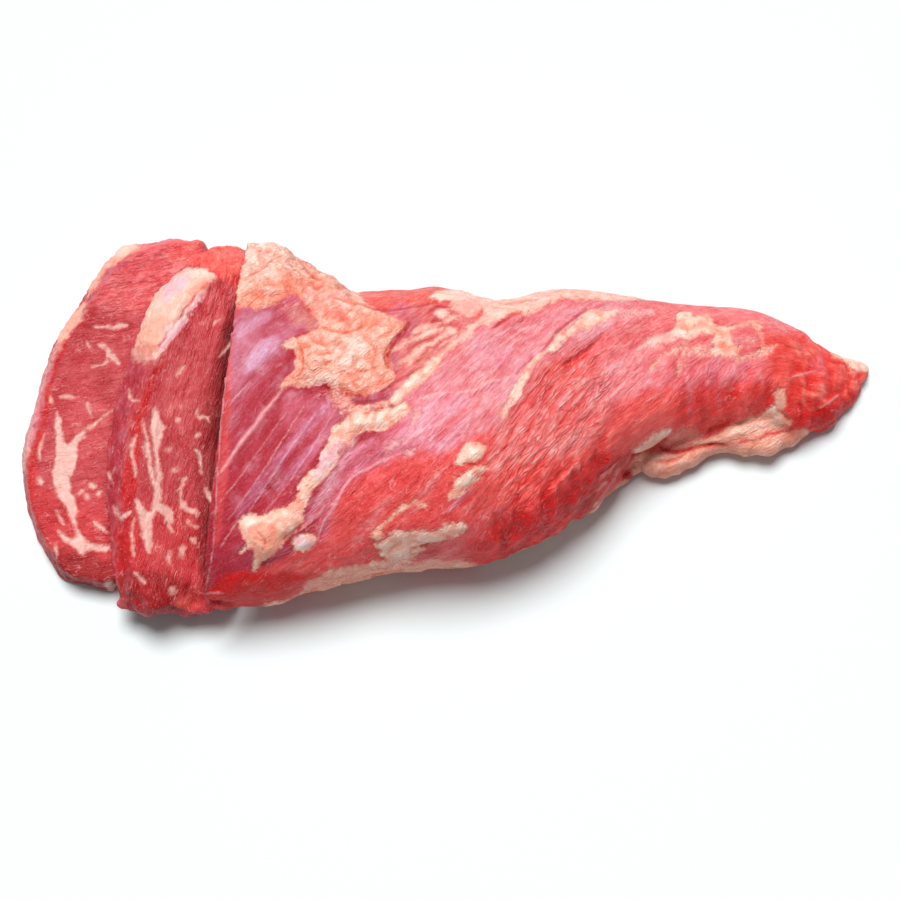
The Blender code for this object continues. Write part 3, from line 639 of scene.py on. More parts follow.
# Grooves: depth in mm and route.
BIG_GROOVES = [
    (0.5, stroke(3, (350, 302), (368, 308), (386, 310), (412, 306), (438, 301))),
    (0.9, stroke(5, (409, 322), (403, 332), (397, 338), (390, 347), (385, 357), (388, 368))),
    (0.4, stroke(3, (349, 368), (360, 372), (372, 370), (379, 367))),
    (0.5, stroke(3, (338, 387), (352, 393), (364, 397))),
    (0.3, stroke(2.4, (262, 249), (258, 257))),
    (0.4, stroke(2.6, (249, 276), (262, 272), (271, 261), (281, 257))),
    (0.4, stroke(2.6, (300, 262), (306, 272), (318, 280))),
    (0.4, stroke(2.6, (296, 336), (302, 350), (304, 366), (298, 380))),
    (0.4, stroke(2.6, (322, 328), (336, 334), (352, 332), (366, 324))),
    (0.3, stroke(2.4, (318, 356), (332, 352), (340, 342))),
    (0.3, stroke(2.4, (366, 340), (376, 350), (374, 362))),
    (0.6, stroke(3, (326, 386), (330, 393), (334, 401))),
    (0.6, stroke(3, (350, 398), (358, 402), (372, 402), (386, 397))),
    (0.4, stroke(3, (362, 414), (374, 411), (384, 409))),
    (0.5, stroke(3, (428, 312), (437, 305), (448, 307))),
    (0.5, stroke(3, (430, 324), (436, 318), (444, 322))),
    (0.5, stroke(3, (408, 350), (420, 342), (433, 335))),
    (0.5, stroke(3, (413, 363), (425, 354), (438, 345))),
    (0.5, stroke(3, (385, 391), (395, 382), (410, 374), (426, 365))),
    (0.5, stroke(3.4, (492, 329), (505, 320), (512, 314), (523, 311))),
    (0.3, stroke(2.4, (511, 329), (518, 323), (525, 317))),
    (0.4, stroke(2.6, (498, 306), (520, 303), (540, 300))),
    (0.5, stroke(3, (541, 352), (551, 339), (560, 329), (576, 317), (587, 309))),
    (0.4, stroke(2.6, (516, 374), (524, 365), (534, 356))),
    (0.8, stroke(4, (601, 337), (592, 345), (586, 350), (580, 355), (572, 360), (564, 364))),
    (0.4, stroke(2.6, (351, 496), (358, 488), (366, 479))),
    (0.3, stroke(2.4, (403, 482), (409, 475))),
    (0.4, stroke(2.6, (409, 491), (415, 485), (420, 476))),
    (0.5, stroke(3, (462, 465), (470, 464), (477, 465))),
    (0.4, stroke(2.6, (283, 540), (291, 533), (299, 527))),
    (0.4, stroke(2.4, (256, 530), (266, 540), (262, 552))),
    (0.6, stroke(3, (372, 577), (384, 573))),
    (0.4, stroke(2.6, (410, 552), (414, 546), (428, 544))),
    (1.2, stroke(5, (634, 457), (652, 451), (662, 444), (667, 439))),
    (1.0, stroke(4, (660, 449), (676, 453), (690, 449), (712, 444), (724, 444))),
    (0.7, stroke(3, (655, 461), (672, 461), (685, 455))),
    (0.6, stroke(3, (700, 470), (712, 462), (726, 456))),
    (0.3, stroke(2, (774, 340), (795, 348), (803, 350))),
    (0.5, stroke(3, (800, 401), (803, 412), (800, 421))),
    (0.5, stroke(3, (778, 411), (784, 416), (791, 422))),
    (0.2, stroke(2, (713, 320), (721, 325), (730, 326), (741, 323))),
    (1.3, stroke(4, (202, 601), (212, 604), (224, 605), (234, 606))),
]

# Which way the muscle's grain runs: a place in the picture and degrees anticlockwise from the right.
BIG_GRAIN = [
    ((240, 330), 52), ((240, 450), 54), ((240, 560), 56), ((290, 400), 52), ((290, 480), 52),
    ((330, 500), 56), ((350, 440), 48), ((400, 470), 46), ((370, 530), 44), ((440, 500), 45),
    ((400, 370), 38), ((440, 390), 36), ((470, 330), 32), ((520, 310), 18), ((600, 300), 4),
    ((520, 370), 47), ((530, 420), 56), ((580, 440), 62), ((560, 350), 42), ((600, 325), 24),
    ((640, 312), 4), ((620, 360), 44), ((650, 380), 48), ((560, 520), 66), ((500, 500), 52),
    ((480, 545), 70), ((530, 535), 74), ((620, 430), 66), ((690, 325), 2), ((700, 390), 76),
    ((690, 410), 78), ((760, 335), -14), ((820, 370), -24), ((760, 400), 74), ((440, 560), 20),
    ((340, 585), 24), ((650, 475), 26), ((740, 440), 14), ((270, 258), 24), ((300, 285), 20),
    ((345, 310), 24), ((330, 350), 26), ((370, 350), 40), ((310, 372), 24),
]

# Where the lean bulges out in furrows, and where the flank under it is dimpled.
BULGE = patch((500, 450), (520, 390), (560, 360), (600, 345), (610, 400), (600, 460), (560, 500), (510, 500))
DIMPLED_FLANK = patch((480, 580), (500, 500), (590, 450), (640, 440), (640, 490), (560, 560))

# The lean that the camera doesn't see.
HIDDEN_WASHES = [(ROSE, 60, 0.5, spot(500, 400, 200, 80))]

# How crumpled the fat is, from 0 to 1: level, softness in pixels, strength and shape.
BIG_CRUMPLE = [
    (1.0, 14, 1.0, patch(
        (220, 220), (300, 220), (360, 280), (420, 316), (404, 384), (350, 410), (270, 394), (290, 330),
        (220, 314))),
    (0.25, 10, 1.0, patch((236, 508), (290, 500), (320, 510), (322, 554), (280, 560), (250, 580))),
    (0.9, 10, 1.0, patch((258, 622), (310, 572), (380, 556), (482, 552), (480, 590), (300, 622))),
    (0.7, 20, 1.0, patch((580, 540), (640, 450), (740, 420), (820, 420), (800, 480), (640, 520))),
]

# How much pale film lies on the lean, in the same way.
BIG_FILM = [
    (1.0, 20, 1.0, patch(
        (230, 300), (300, 300), (400, 400), (460, 330), (600, 300), (640, 320), (560, 360), (510, 420),
        (460, 450), (380, 460), (330, 520), (280, 560), (226, 560))),
    (1.0, 16, 0.6, patch((590, 400), (600, 350), (690, 330), (770, 340), (780, 370), (700, 390))),
]

# Where the lean is smooth and its fibres hardly show, in the same way.
BIG_SMOOTH = [
    (1.0, 24, 0.5, patch((226, 300), (300, 300), (330, 400), (300, 480), (240, 540), (206, 600))),
    (1.0, 30, 0.2, patch((640, 300), (900, 300), (900, 460), (640, 460))),
]


# ---------------------------------------------------------- what it shows on the slices
def crisp(thick, shape):
    """Fat that hardly frays and that hides the lean altogether, as marbling does."""
    return thick, 0.25, 1.0, shape


OUTER_FATS = {
    "far rim": (0.9, 0.5, 1.0, patch(
        (84, 296), (92, 278), (104, 262), (118, 247), (134, 240), (141, 247), (128, 254), (114, 262),
        (104, 272), (96, 284), (88, 298))),
    "left rim far": (0.8, 0.5, 1.0, patch(
        (86, 300), (78, 307), (68, 316), (54, 336), (60, 344), (72, 330), (84, 314))),
    "left rim": (0.4, 0.6, 0.8, patch(
        (26, 440), (36, 402), (48, 366), (62, 336), (80, 306), (82, 310), (68, 330), (60, 346), (50, 366),
        (42, 388), (34, 420), (26, 470), (20, 470))),
    "main vein": crisp(0.12, patch(
        (55, 412), (58, 412), (62, 426), (63, 440), (66, 445), (71, 443), (76, 435), (84, 431), (88, 433),
        (79, 440), (76, 452), (76, 462), (74, 472), (70, 477), (69, 484), (72, 496), (79, 509), (76, 516),
        (78, 530), (84, 540), (97, 546), (110, 545), (109, 551), (98, 551), (90, 549), (84, 554), (78, 552),
        (72, 545), (62, 539), (55, 528), (62, 534), (71, 538), (77, 536), (75, 528), (70, 514), (60, 500),
        (54, 488), (53, 470), (55, 452), (56, 440), (55, 424))),
    "upper fork": crisp(0.1, stroke(3, (86, 430), (92, 426), (96, 422))),
    "upper fork thin": crisp(0.08, stroke(2, (94, 424), (104, 416), (113, 410))),
    "upper stem": crisp(0.08, stroke(2.4, (88, 404), (89, 410), (91, 416))),
    "star": crisp(0.1, stroke(3.4, (100, 345), (107, 346), (109, 354), (108, 360))),
    "star arm": crisp(0.1, stroke(4.2, (109, 354), (115, 359), (120, 364))),
    "star root": crisp(0.08, stroke(2, (109, 360), (102, 364), (92, 367))),
    "top twig": crisp(0.08, stroke(3, (112, 329), (118, 326), (127, 325))),
    "top twig thin": crisp(0.06, stroke(2, (94, 327), (104, 326), (114, 328))),
    "side twig": crisp(0.06, stroke(2, (87, 342), (90, 348))),
    "wisp": crisp(0.06, stroke(2, (60, 396), (74, 397))),
    "spot a": (0.08, 0.5, 0.94, spot(92, 486, 3.0, 2.6)),
    "spot b": (0.08, 0.5, 0.94, spot(87, 496, 2.2, 2.4)),
    "spot c": (0.08, 0.5, 0.94, spot(99, 494, 1.8, 2.6)),
    "spot d": (0.08, 0.5, 0.94, spot(80, 491, 2.6, 1.4, 20)),
    "spot e": (0.08, 0.5, 0.94, spot(41, 480, 2.8, 4.0)),
    "low line": crisp(0.08, stroke(2.4, (56, 511), (60, 518), (65, 524))),
    "low line b": crisp(0.08, stroke(3, (94, 522), (101, 528), (107, 532))),
    "low line c": crisp(0.06, stroke(1.8, (55, 543), (57, 552), (56, 558))),
    "near rim": crisp(0.4, patch((104, 582), (111, 580), (118, 586), (120, 594), (113, 592), (106, 588))),
    "left line": crisp(0.06, stroke(2, (44, 436), (40, 448), (38, 458))),
    "left dots": crisp(0.06, stroke(2, (50, 395), (50, 403))),
}

OUTER_WASHES = [
    (SLICE_PALE, 22, 0.3, patch((120, 330), (60, 400), (50, 460), (100, 470), (120, 400), (130, 340))),
    (FAR_ROSE, 22, 0.85, patch(
        (110, 260), (150, 236), (204, 236), (200, 264), (170, 290), (140, 320), (110, 310), (90, 300))),
    (END_CORAL, 14, 0.5, patch((166, 236), (204, 236), (200, 262), (184, 276), (168, 262))),
    (SLICE_WET, 5, 0.9, patch(
        (27, 520), (28, 470), (38, 420), (50, 370), (66, 336), (74, 332), (64, 352), (54, 376), (46, 410),
        (36, 450), (34, 500))),
    (SLICE_RED, 16, 0.8, patch(
        (30, 480), (60, 500), (110, 500), (118, 560), (118, 600), (60, 590), (34, 540))),
    # Painted shade at the near end.
    (SLICE_SHADE, 12, 0.75, patch((40, 548), (110, 554), (120, 602), (60, 592))),
    (SLICE_PALE, 14, 0.35, spot(92, 500, 16, 22, 10)),
    # Painted shade beside the inner slice's rim.
    (SLICE_SHADE, 12, 0.3, spot(104, 380, 12, 24, 20)),
    (SLICE_SHADE, 8, 0.4, patch((104, 470), (116, 400), (124, 380), (118, 470), (116, 560), (106, 560))),
    (LILAC, 4, 0.75, patch(
        (98, 284), (106, 272), (118, 262), (130, 258), (126, 264), (114, 272), (104, 284))),
    (MAUVE, 5, 0.6, patch((20, 470), (30, 420), (46, 370), (60, 344), (52, 370), (38, 410), (30, 460))),
]

OUTER_FAT_WASHES = [
    (PEACH, 6, 0.9, patch(
        (20, 480), (40, 360), (90, 270), (140, 230), (146, 250), (100, 290), (60, 360), (34, 470))),
    (LILAC_FAT, 6, 0.7, stroke(6, (24, 480), (30, 430), (44, 380), (60, 340))),
    (PALE_FAT, 6, 0.8, spot(126, 246, 14, 7, 30)),
]

INNER_FATS = {
    "far rim": (0.9, 0.5, 1.0, patch(
        (175, 274), (186, 269), (198, 269), (210, 272), (217, 277), (211, 283), (203, 287), (196, 295),
        (188, 305), (177, 320), (167, 334), (161, 345), (154, 350), (144, 348), (133, 350), (138, 336),
        (143, 318), (150, 303), (157, 290), (167, 281))),
    "far rim strip": (0.4, 0.6, 0.96, stroke(
        8, (208, 287), (199, 296), (190, 308), (179, 324), (169, 338), (160, 351))),
    "far rim foot": (0.2, 1.4, 0.6, patch((134, 342), (164, 338), (158, 360), (140, 362), (130, 354))),
    "rim corner": crisp(0.3, patch((150, 352), (158, 348), (164, 344), (160, 354), (154, 362))),
    "vein a": crisp(0.14, patch(
        (154, 405), (158, 412), (160, 422), (167, 426), (162, 434), (160, 444), (158, 456), (160, 466),
        (161, 480), (160, 490), (162, 502), (156, 508), (153, 516), (152, 530), (153, 546), (150, 556),
        (145, 544), (141, 529), (138, 515), (135, 506), (136, 497), (140, 502), (144, 508), (149, 514),
        (152, 506), (154, 498), (154, 488), (156, 478), (155, 464), (154, 450), (152, 436), (150, 424))),
    "vein a branch": crisp(0.12, patch(
        (156, 499), (164, 503), (172, 511), (175, 519), (172, 524), (166, 518), (160, 513), (155, 510))),
    "vein a low": crisp(0.08, stroke(2.2, (165, 516), (170, 524), (172, 532))),
    "branch": crisp(0.1, patch(
        (179, 488), (182, 496), (184, 504), (190, 508), (198, 511), (196, 517), (190, 512), (184, 510),
        (178, 509), (180, 500))),
    "branch up": crisp(0.08, stroke(2.4, (178, 489), (182, 484), (186, 478))),
    "branch low": crisp(0.08, stroke(2, (187, 521), (191, 526), (198, 527))),
    "branch dots": crisp(0.08, spot(193, 540, 2.2, 3.0)),
    "vein b": crisp(0.1, stroke(3.2, (142, 421), (146, 434), (147, 448), (150, 462))),
    "vein b low": crisp(0.12, stroke(4.4, (149, 460), (150, 472), (154, 482), (156, 490))),
    "vein b side": crisp(0.08, stroke(2, (143, 448), (146, 458))),
    "vein c": crisp(0.1, stroke(3.0, (137, 434), (132, 446), (133, 458), (135, 466), (135, 477))),
    "vein d": crisp(0.1, stroke(3, (114, 506), (118, 516), (124, 518), (130, 512))),
    "vein e": crisp(0.08, stroke(2.2, (134, 518), (131, 532), (133, 548), (134, 556))),
    "left twig": crisp(0.08, stroke(2.8, (129, 388), (130, 396), (133, 400))),
    "left twig b": crisp(0.06, stroke(2, (132, 400), (139, 401))),
    "left dash": crisp(0.08, stroke(2.4, (110, 472), (112, 480))),
    "spot a": (0.08, 0.5, 0.94, spot(182, 552, 2.8, 5.0)),
    "spot b": (0.08, 0.5, 0.94, spot(169, 558, 2.0, 4.4)),
    "spot c": (0.08, 0.5, 0.94, spot(174, 470, 3.2, 2.4, 30)),
    "spot d": (0.08, 0.5, 0.94, spot(169, 448, 3.0, 1.8, 30)),
    "spot e": (0.08, 0.5, 0.94, spot(197, 436, 2.4, 2.4)),
    "spot f": crisp(0.08, stroke(3, (200, 468), (202, 474))),
    "right hook": crisp(0.08, stroke(3, (194, 450), (199, 452), (200, 462), (201, 472))),
    "upper hook": crisp(0.1, stroke(3.4, (197, 410), (199, 418), (206, 416), (209, 422))),
    "edge bit": crisp(0.14, patch((204, 486), (209, 492), (215, 500), (216, 506), (210, 502), (205, 494))),
    "edge bit b": crisp(0.1, stroke(3, (213, 498), (216, 504), (213, 510))),
    "edge bit up": crisp(0.1, stroke(3, (220, 356), (226, 348), (230, 342))),
    "edge low": crisp(0.14, stroke(3.4, (211, 560), (213, 552), (214, 548))),
    "middle tick": crisp(0.08, stroke(2.4, (176, 376), (180, 370), (184, 366))),
    "upper tick": crisp(0.06, stroke(1.8, (213, 324), (218, 320))),
    "low tick": crisp(0.06, stroke(1.8, (134, 572), (140, 578), (145, 584))),
    "spot g": crisp(0.06, spot(178, 419, 2.0, 2.4)),
    "spot h": crisp(0.06, spot(185, 504, 2.0, 2.0)),
    "spot i": crisp(0.06, spot(166, 520, 1.6, 2.2)),
    "spot j": (0.06, 0.5, 0.9, spot(172, 590, 3.0, 2.4)),
}

INNER_WASHES = [
    (END_CORAL, 9, 0.95, patch(
        (180, 262), (200, 238), (240, 238), (246, 260), (236, 290), (222, 282), (206, 268), (190, 266))),
    (SLICE_PALE, 14, 0.5, patch((196, 300), (216, 276), (240, 286), (232, 330), (210, 340), (190, 330))),
    (RIM_MAUVE, 6, 0.85, patch(
        (104, 520), (108, 470), (112, 410), (118, 380), (132, 348), (156, 356), (150, 366), (138, 388),
        (128, 420), (120, 470), (116, 540))),
    (LILAC, 4, 0.8, patch(
        (150, 312), (158, 296), (168, 284), (178, 276), (176, 284), (166, 300), (158, 316))),
    (SLICE_WET, 5, 0.95, patch(
        (116, 560), (120, 510), (128, 440), (140, 400), (156, 366), (164, 358), (156, 378), (146, 404),
        (140, 440), (134, 500), (128, 560), (124, 590))),
    (SLICE_WET, 8, 0.8, patch((118, 520), (140, 500), (150, 560), (150, 612), (126, 606), (114, 570))),
    (SLICE_PALE, 18, 0.4, patch((160, 420), (170, 380), (190, 340), (210, 330), (200, 380), (180, 420))),
    (SLICE_RED, 14, 0.6, patch((128, 500), (200, 500), (206, 610), (150, 622), (126, 600))),
    # Painted shade beside the big piece's overhanging edge.
    (SLICE_SHADE, 10, 0.7, patch(
        (196, 470), (206, 400), (222, 320), (240, 300), (226, 400), (214, 500), (206, 600), (196, 600))),
    # Painted shade at the near end.
    (SLICE_SHADE, 12, 0.7, patch((118, 566), (160, 572), (200, 590), (200, 612), (150, 622), (118, 604))),
    (END_CORAL, 6, 0.45, spot(188, 606, 14, 8, 10)),
    # Painted shade in the deep gap under the big piece's edge.
    (CREVICE_SHADE, 14, 0.85, patch(
        (244, 292), (234, 300), (224, 340), (214, 420), (207, 500), (203, 560), (206, 600), (250, 600))),
]

INNER_FAT_WASHES = [
    (CREAM, 8, 0.8, patch((128, 352), (160, 280), (220, 262), (224, 284), (180, 340), (160, 366))),
    (LILAC_FAT, 6, 0.9, patch(
        (160, 300), (168, 284), (184, 272), (196, 270), (190, 284), (176, 296), (166, 308))),
    (PALE_FAT, 6, 0.8, spot(200, 275, 14, 6, -10)),
    (APRICOT, 5, 0.8, stroke(6, (186, 300), (196, 289), (208, 283))),
    (LILAC_FAT, 5, 0.9, stroke(9, (161, 352), (170, 339), (181, 325), (191, 309), (200, 297), (210, 288))),
    (PURPLE, 4, 0.35, stroke(4, (164, 335), (175, 320), (186, 303), (196, 292))),
    (PEACH, 10, 0.8, patch((134, 348), (146, 322), (166, 318), (164, 340), (154, 358))),
]

# The deep gap beside the inner slice, where no fibres show.
HOLLOW = patch((246, 292), (232, 300), (220, 340), (211, 400), (207, 500), (204, 590), (250, 600))


# ---------------------------------------------------------- grain
GRID_STEP = 6.0                                  # pixels between the points where the run is worked out
GRID_LOW = np.array((-30.0, 190.0))
GRID_SIZE = (160, 84)
RUN_REACH = 30                                   # pixels within which a stated direction rules


def from_slopes(slope_x, slope_y):
    """The height over a grid whose slopes come nearest to those given."""
    tall, wide = slope_x.shape
    mirrored_x = np.block([[slope_x, -slope_x[:, ::-1]], [slope_x[::-1], -slope_x[::-1, ::-1]]])
    mirrored_y = np.block([[slope_y, slope_y[:, ::-1]], [-slope_y[::-1], -slope_y[::-1, ::-1]]])
    turn_x = np.fft.fftfreq(2 * wide)[None, :] * 2 * np.pi
    turn_y = np.fft.fftfreq(2 * tall)[:, None] * 2 * np.pi
    total = turn_x ** 2 + turn_y ** 2
    total[0, 0] = 1
    height = -1j * (turn_x * np.fft.fft2(mirrored_x) + turn_y * np.fft.fft2(mirrored_y)) / total
    return np.fft.ifft2(height).real[:tall, :wide]


def grain_run(places, heights, runs):
    """Coordinates in mm along the grain, across it and upwards."""
    xs = GRID_LOW[0] + np.arange(GRID_SIZE[0]) * GRID_STEP
    ys = GRID_LOW[1] + np.arange(GRID_SIZE[1]) * GRID_STEP
    grid_x, grid_y = np.meshgrid(xs, ys)
    doubled = np.zeros(grid_x.shape, complex)
    for (x, y), degrees in runs:
        near = 1 / ((grid_x - x) ** 2 + (grid_y - y) ** 2 + RUN_REACH ** 2) ** 2
        doubled += near * np.exp(2j * math.radians(degrees))
    angle = np.angle(doubled) / 2
    step = GRID_STEP * PIXEL_MM
    along = from_slopes(np.cos(angle) * step, -np.sin(angle) * step)
    across = from_slopes(np.sin(angle) * step, np.cos(angle) * step)
    spots = np.clip((places - GRID_LOW) / GRID_STEP, 0, np.array(GRID_SIZE) - 1.001)
    column, row = np.floor(spots).astype(int).T
    right, down = (spots - np.floor(spots)).T

    def read(grid):
        top = grid[row, column] * (1 - right) + grid[row, column + 1] * right
        bottom = grid[row + 1, column] * (1 - right) + grid[row + 1, column + 1] * right
        return top * (1 - down) + bottom * down
    return np.stack([read(along), read(across), heights], 1)


# ---------------------------------------------------------- skins
RELAX_SHARE = 0.6                                # how far one pass moves a value to its neighbours' mean
RIDGE_PASSES = 14                                # how widely the ground around a ridge is averaged
RIDGE_GAIN = 2.2                                 # how soon a ridge counts as a full one, per mm


def skin_over(node, name, square):
    """A new object: an even skin of small squares over a CAD node."""
    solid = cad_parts[node].data.copy()
    work = bmesh.new()
    work.from_mesh(solid)
    bmesh.ops.remove_doubles(work, verts=work.verts, dist=0.01 * MM)
    work.to_mesh(solid)
    work.free()
    skin = bpy.data.objects.new(name, solid)
    bpy.context.scene.collection.objects.link(skin)
    remesh = skin.modifiers.new("even skin", "REMESH")
    remesh.mode = "VOXEL"
    remesh.voxel_size = square
    bpy.context.view_layer.update()
    grown = bpy.data.meshes.new_from_object(skin.evaluated_get(bpy.context.evaluated_depsgraph_get()))
    skin.modifiers.clear()
    skin.data = grown
    bpy.data.meshes.remove(solid)
    return skin


def read_points(mesh):
    points = np.empty(len(mesh.vertices) * 3)
    mesh.vertices.foreach_get("co", points)
    return points.reshape(-1, 3)


def write_points(mesh, points):
    mesh.vertices.foreach_set("co", points.ravel())
    mesh.update()


def read_normals(mesh):
    normals = np.empty(len(mesh.vertices) * 3)
    mesh.vertex_normals.foreach_get("vector", normals)
    return normals.reshape(-1, 3)


def relax(mesh, values, passes, hold=0.0):
    """Values or points averaged with their neighbours' again and again, less where `hold` is near 1."""
    edges = np.empty(len(mesh.edges) * 2, int)
    mesh.edges.foreach_get("vertices", edges)
    start, end = edges.reshape(-1, 2).T
    count = len(mesh.vertices)
    degree = np.bincount(start, minlength=count) + np.bincount(end, minlength=count)
    held = np.asarray(hold, float)
    for _ in range(passes):
        for k in range(values.shape[1]):
            column = values[:, k]
            total = (np.bincount(start, column[end], minlength=count)
                     + np.bincount(end, column[start], minlength=count))
            values[:, k] = column + (total / degree - column) * RELAX_SHARE * (1 - held)
    return values


class Ground:
    """A skin on the photograph's outline, without relief yet, and what can be read at its points."""

    def __init__(self, mesh, points, grain_runs):
        self.mesh = mesh
        self.points = nudged(points, NUDGES)
        write_points(mesh, self.points)
        self.normals = read_normals(mesh)
        self.mm = self.points / MM
        self.places = picture_places(self.points)
        self.grain = grain_run(self.places, self.mm[:, 2], grain_runs)

    def noise(self, size, seed, octaves=3):
        """Noise whose bumps are about `size` mm across."""
        return rough_noise(self.mm, size, seed, octaves)

    def noise_along(self, sizes, seed, octaves=2):
        """Noise whose bumps follow the grain: their size in mm along it, across it and upwards."""
        return rough_noise(self.grain / sizes, 1, seed, octaves)

    def ragged(self, amount, size, seed):
        """The places moved a little by noise, so that outlines read from them are ragged."""
        return self.places + np.stack([self.noise(size, seed), self.noise(size, seed + 50)], 1) * amount

    def rightwards(self, low, high):
        """From 0 to 1 between two columns of the picture."""
        return smooth_step(self.places[:, 0], low, high)

    def downwards(self, low, high):
        """From 0 to 1 between two rows of the picture."""
        return smooth_step(self.places[:, 1], low, high)

    def raise_by(self, relief):
        """Gives the mesh its relief, in mm.  Returns from -1 in a groove to 1 on a ridge."""
        write_points(self.mesh, self.points + self.normals * relief[:, None] * MM)
        around = relax(self.mesh, relief[:, None].copy(), RIDGE_PASSES)[:, 0]
        return np.clip((relief - around) * RIDGE_GAIN, -1, 1)[:, None]


# ---------------------------------------------------------- dressing
OUT_OF_SIGHT = -9.0                              # mm inside a thread or groove, where the camera sees none


def creases_in(points, seed):
    """Noise folded at its middle: 1 along crisp lines, less away from them."""
    return 1 - np.abs(soft_noise(points, 1, seed))


def fats_at(places, tufts, fats):
    """How far inside any fat each place is and how high that stands there, in mm, and how much it hides."""
    inside = np.full(len(places), BEYOND * PIXEL_MM)
    height = np.zeros(len(places))
    hides = np.ones(len(places))
    for thick, fray, cover, shape in fats.values():
        # Fat that hides little is thin, so its middle counts as near its edge.
        reach = (shape(places) * PIXEL_MM + fray * tufts) * np.interp(cover, (0.8, 0.96), (0.42, 1.0))
        hides = np.where(reach > inside, cover, hides)
        inside = np.maximum(inside, reach)
        height = np.maximum(height, thick * smooth_step(reach, -0.6, 1.6 + 1.6 * thick))
    return inside, height, hides


def mixed(under, over, cover):
    """One colour over another, covering it by 0 to 1 at each point."""
    return under * (1 - cover[:, None]) + over * cover[:, None]


def washed(places, base, washes):
    """The colour or level at each place after all the washes."""
    colour = np.broadcast_to(base, (len(places), np.shape(base)[-1]))
    for tint, soft, strength, shape in washes:
        colour = mixed(colour, tint, smooth_step(shape(places), -soft / 2, soft / 2) * strength)
    return colour


def level(places, base, washes):
    """Washes of plain numbers instead of colours."""
    return washed(places, np.array([base]), washes)[:, 0]


def store(ground, colours, numbers):
    """Gives the mesh what its material reads at each point."""
    attributes = ground.mesh.attributes
    for name, values in colours.items():
        opaque = np.hstack([values, np.ones((len(values), 1))]).astype(np.float32)
        attributes.new(name, "FLOAT_COLOR", "POINT").data.foreach_set("color", opaque.ravel())
    for name, values in numbers.items():
        attributes.new(name, "FLOAT", "POINT").data.foreach_set("value", values.astype(np.float32))
    grain = ground.grain.astype(np.float32)
    attributes.new("grain", "FLOAT_VECTOR", "POINT").data.foreach_set("vector", grain.ravel())


def big_fat(ground, seen, cut_face):
    """What fats_at says of the main piece, with loose patches of fat where the camera doesn't see."""
    tufts = ground.noise_along((5, 2.2, 3), 7, 3) * 1.1 - 0.1
    fat, height, hides = fats_at(ground.ragged(1.2, 3.2, 3), tufts, BIG_FATS)
    hidden_fat = (ground.noise(26, 11, 4) - 0.28) * 9
    fat = np.where(seen > 0.999, fat, fat * seen + hidden_fat * (1 - seen))
    cut_fat = (rough_noise(ground.mm * (1, 1, 1.6), 9, 21, 4) - 0.62) * 4
    fat = fat * (1 - cut_face) + cut_fat * cut_face
    height *= seen * (1 - cut_face)
    hides = relax(ground.mesh, (hides * seen + 1 - seen)[:, None], 3)[:, 0]
    return fat, height, hides


def fat_forms(ground, bends):
    """Lumps and creases in fat, in mm, and how pale the fat is painted there: paler on the lumps, darker in
    the creases, as painted light and shade, with some random tone.
    """
    lumps = lobes(ground.mm + bends * 2.4, 8.5, 4)
    small_lumps = lobes(ground.mm + bends * 1.6, 4.2, 9)
    creases = creases_in(ground.grain / (7, 2.4, 3) + bends * 0.35, 43)
    capped = smooth_step(BIG_FATS["cap"][3](ground.places), -4, 8)
    finer = ((small_lumps - 0.7) * 0.5 - creases ** 4 * 0.55) * (0.3 + 0.7 * capped)
    relief = (lumps - 0.7) * 0.6 + finer + ground.noise(5, 41, 2) * 0.25
    tone = lumps - 0.6 + (small_lumps - 0.6) * 0.6 + ground.noise(6, 15) * 0.6
    return relief, tone


def lean_forms(ground, bends, bulging, dimpled, tail):
    """Furrows, dimples, folds and lumps in the lean, in mm, and the painted light and shade that go with
    them: paler on their tops, darker in their hollows.
    """
    furrows = creases_in(ground.grain / (12, 3.6, 6), 61)
    dimples = (dimpled * rough_noise(ground.mm / (3.4, 10, 10), 1, 72, 2))[:, None]
    folds = (tail * rough_noise(ground.mm / (5, 14, 14), 1, 91, 2))[:, None]
    lumps = (ground.rightwards(766, 830) * (lobes(ground.mm + bends * 2.2, 7.0, 17) - 0.7))[:, None]
    relief = ground.noise_along((18, 3.2, 5), 51) * 0.25 + ground.noise_along((9, 4, 5), 82) * 0.25
    relief += ground.noise(14, 81, 2) * 0.3 + dimpled * ground.noise(5, 71) * 0.42
    relief += (dimples * 0.95 + folds * 1.1 + lumps * 0.8)[:, 0] - bulging * furrows ** 3 * 0.9
    return relief, (dimples * (0.2, 0.6, 0.6), folds * (0.06, 0.5, 0.5), lumps * (0.1, 0.7, 0.6))


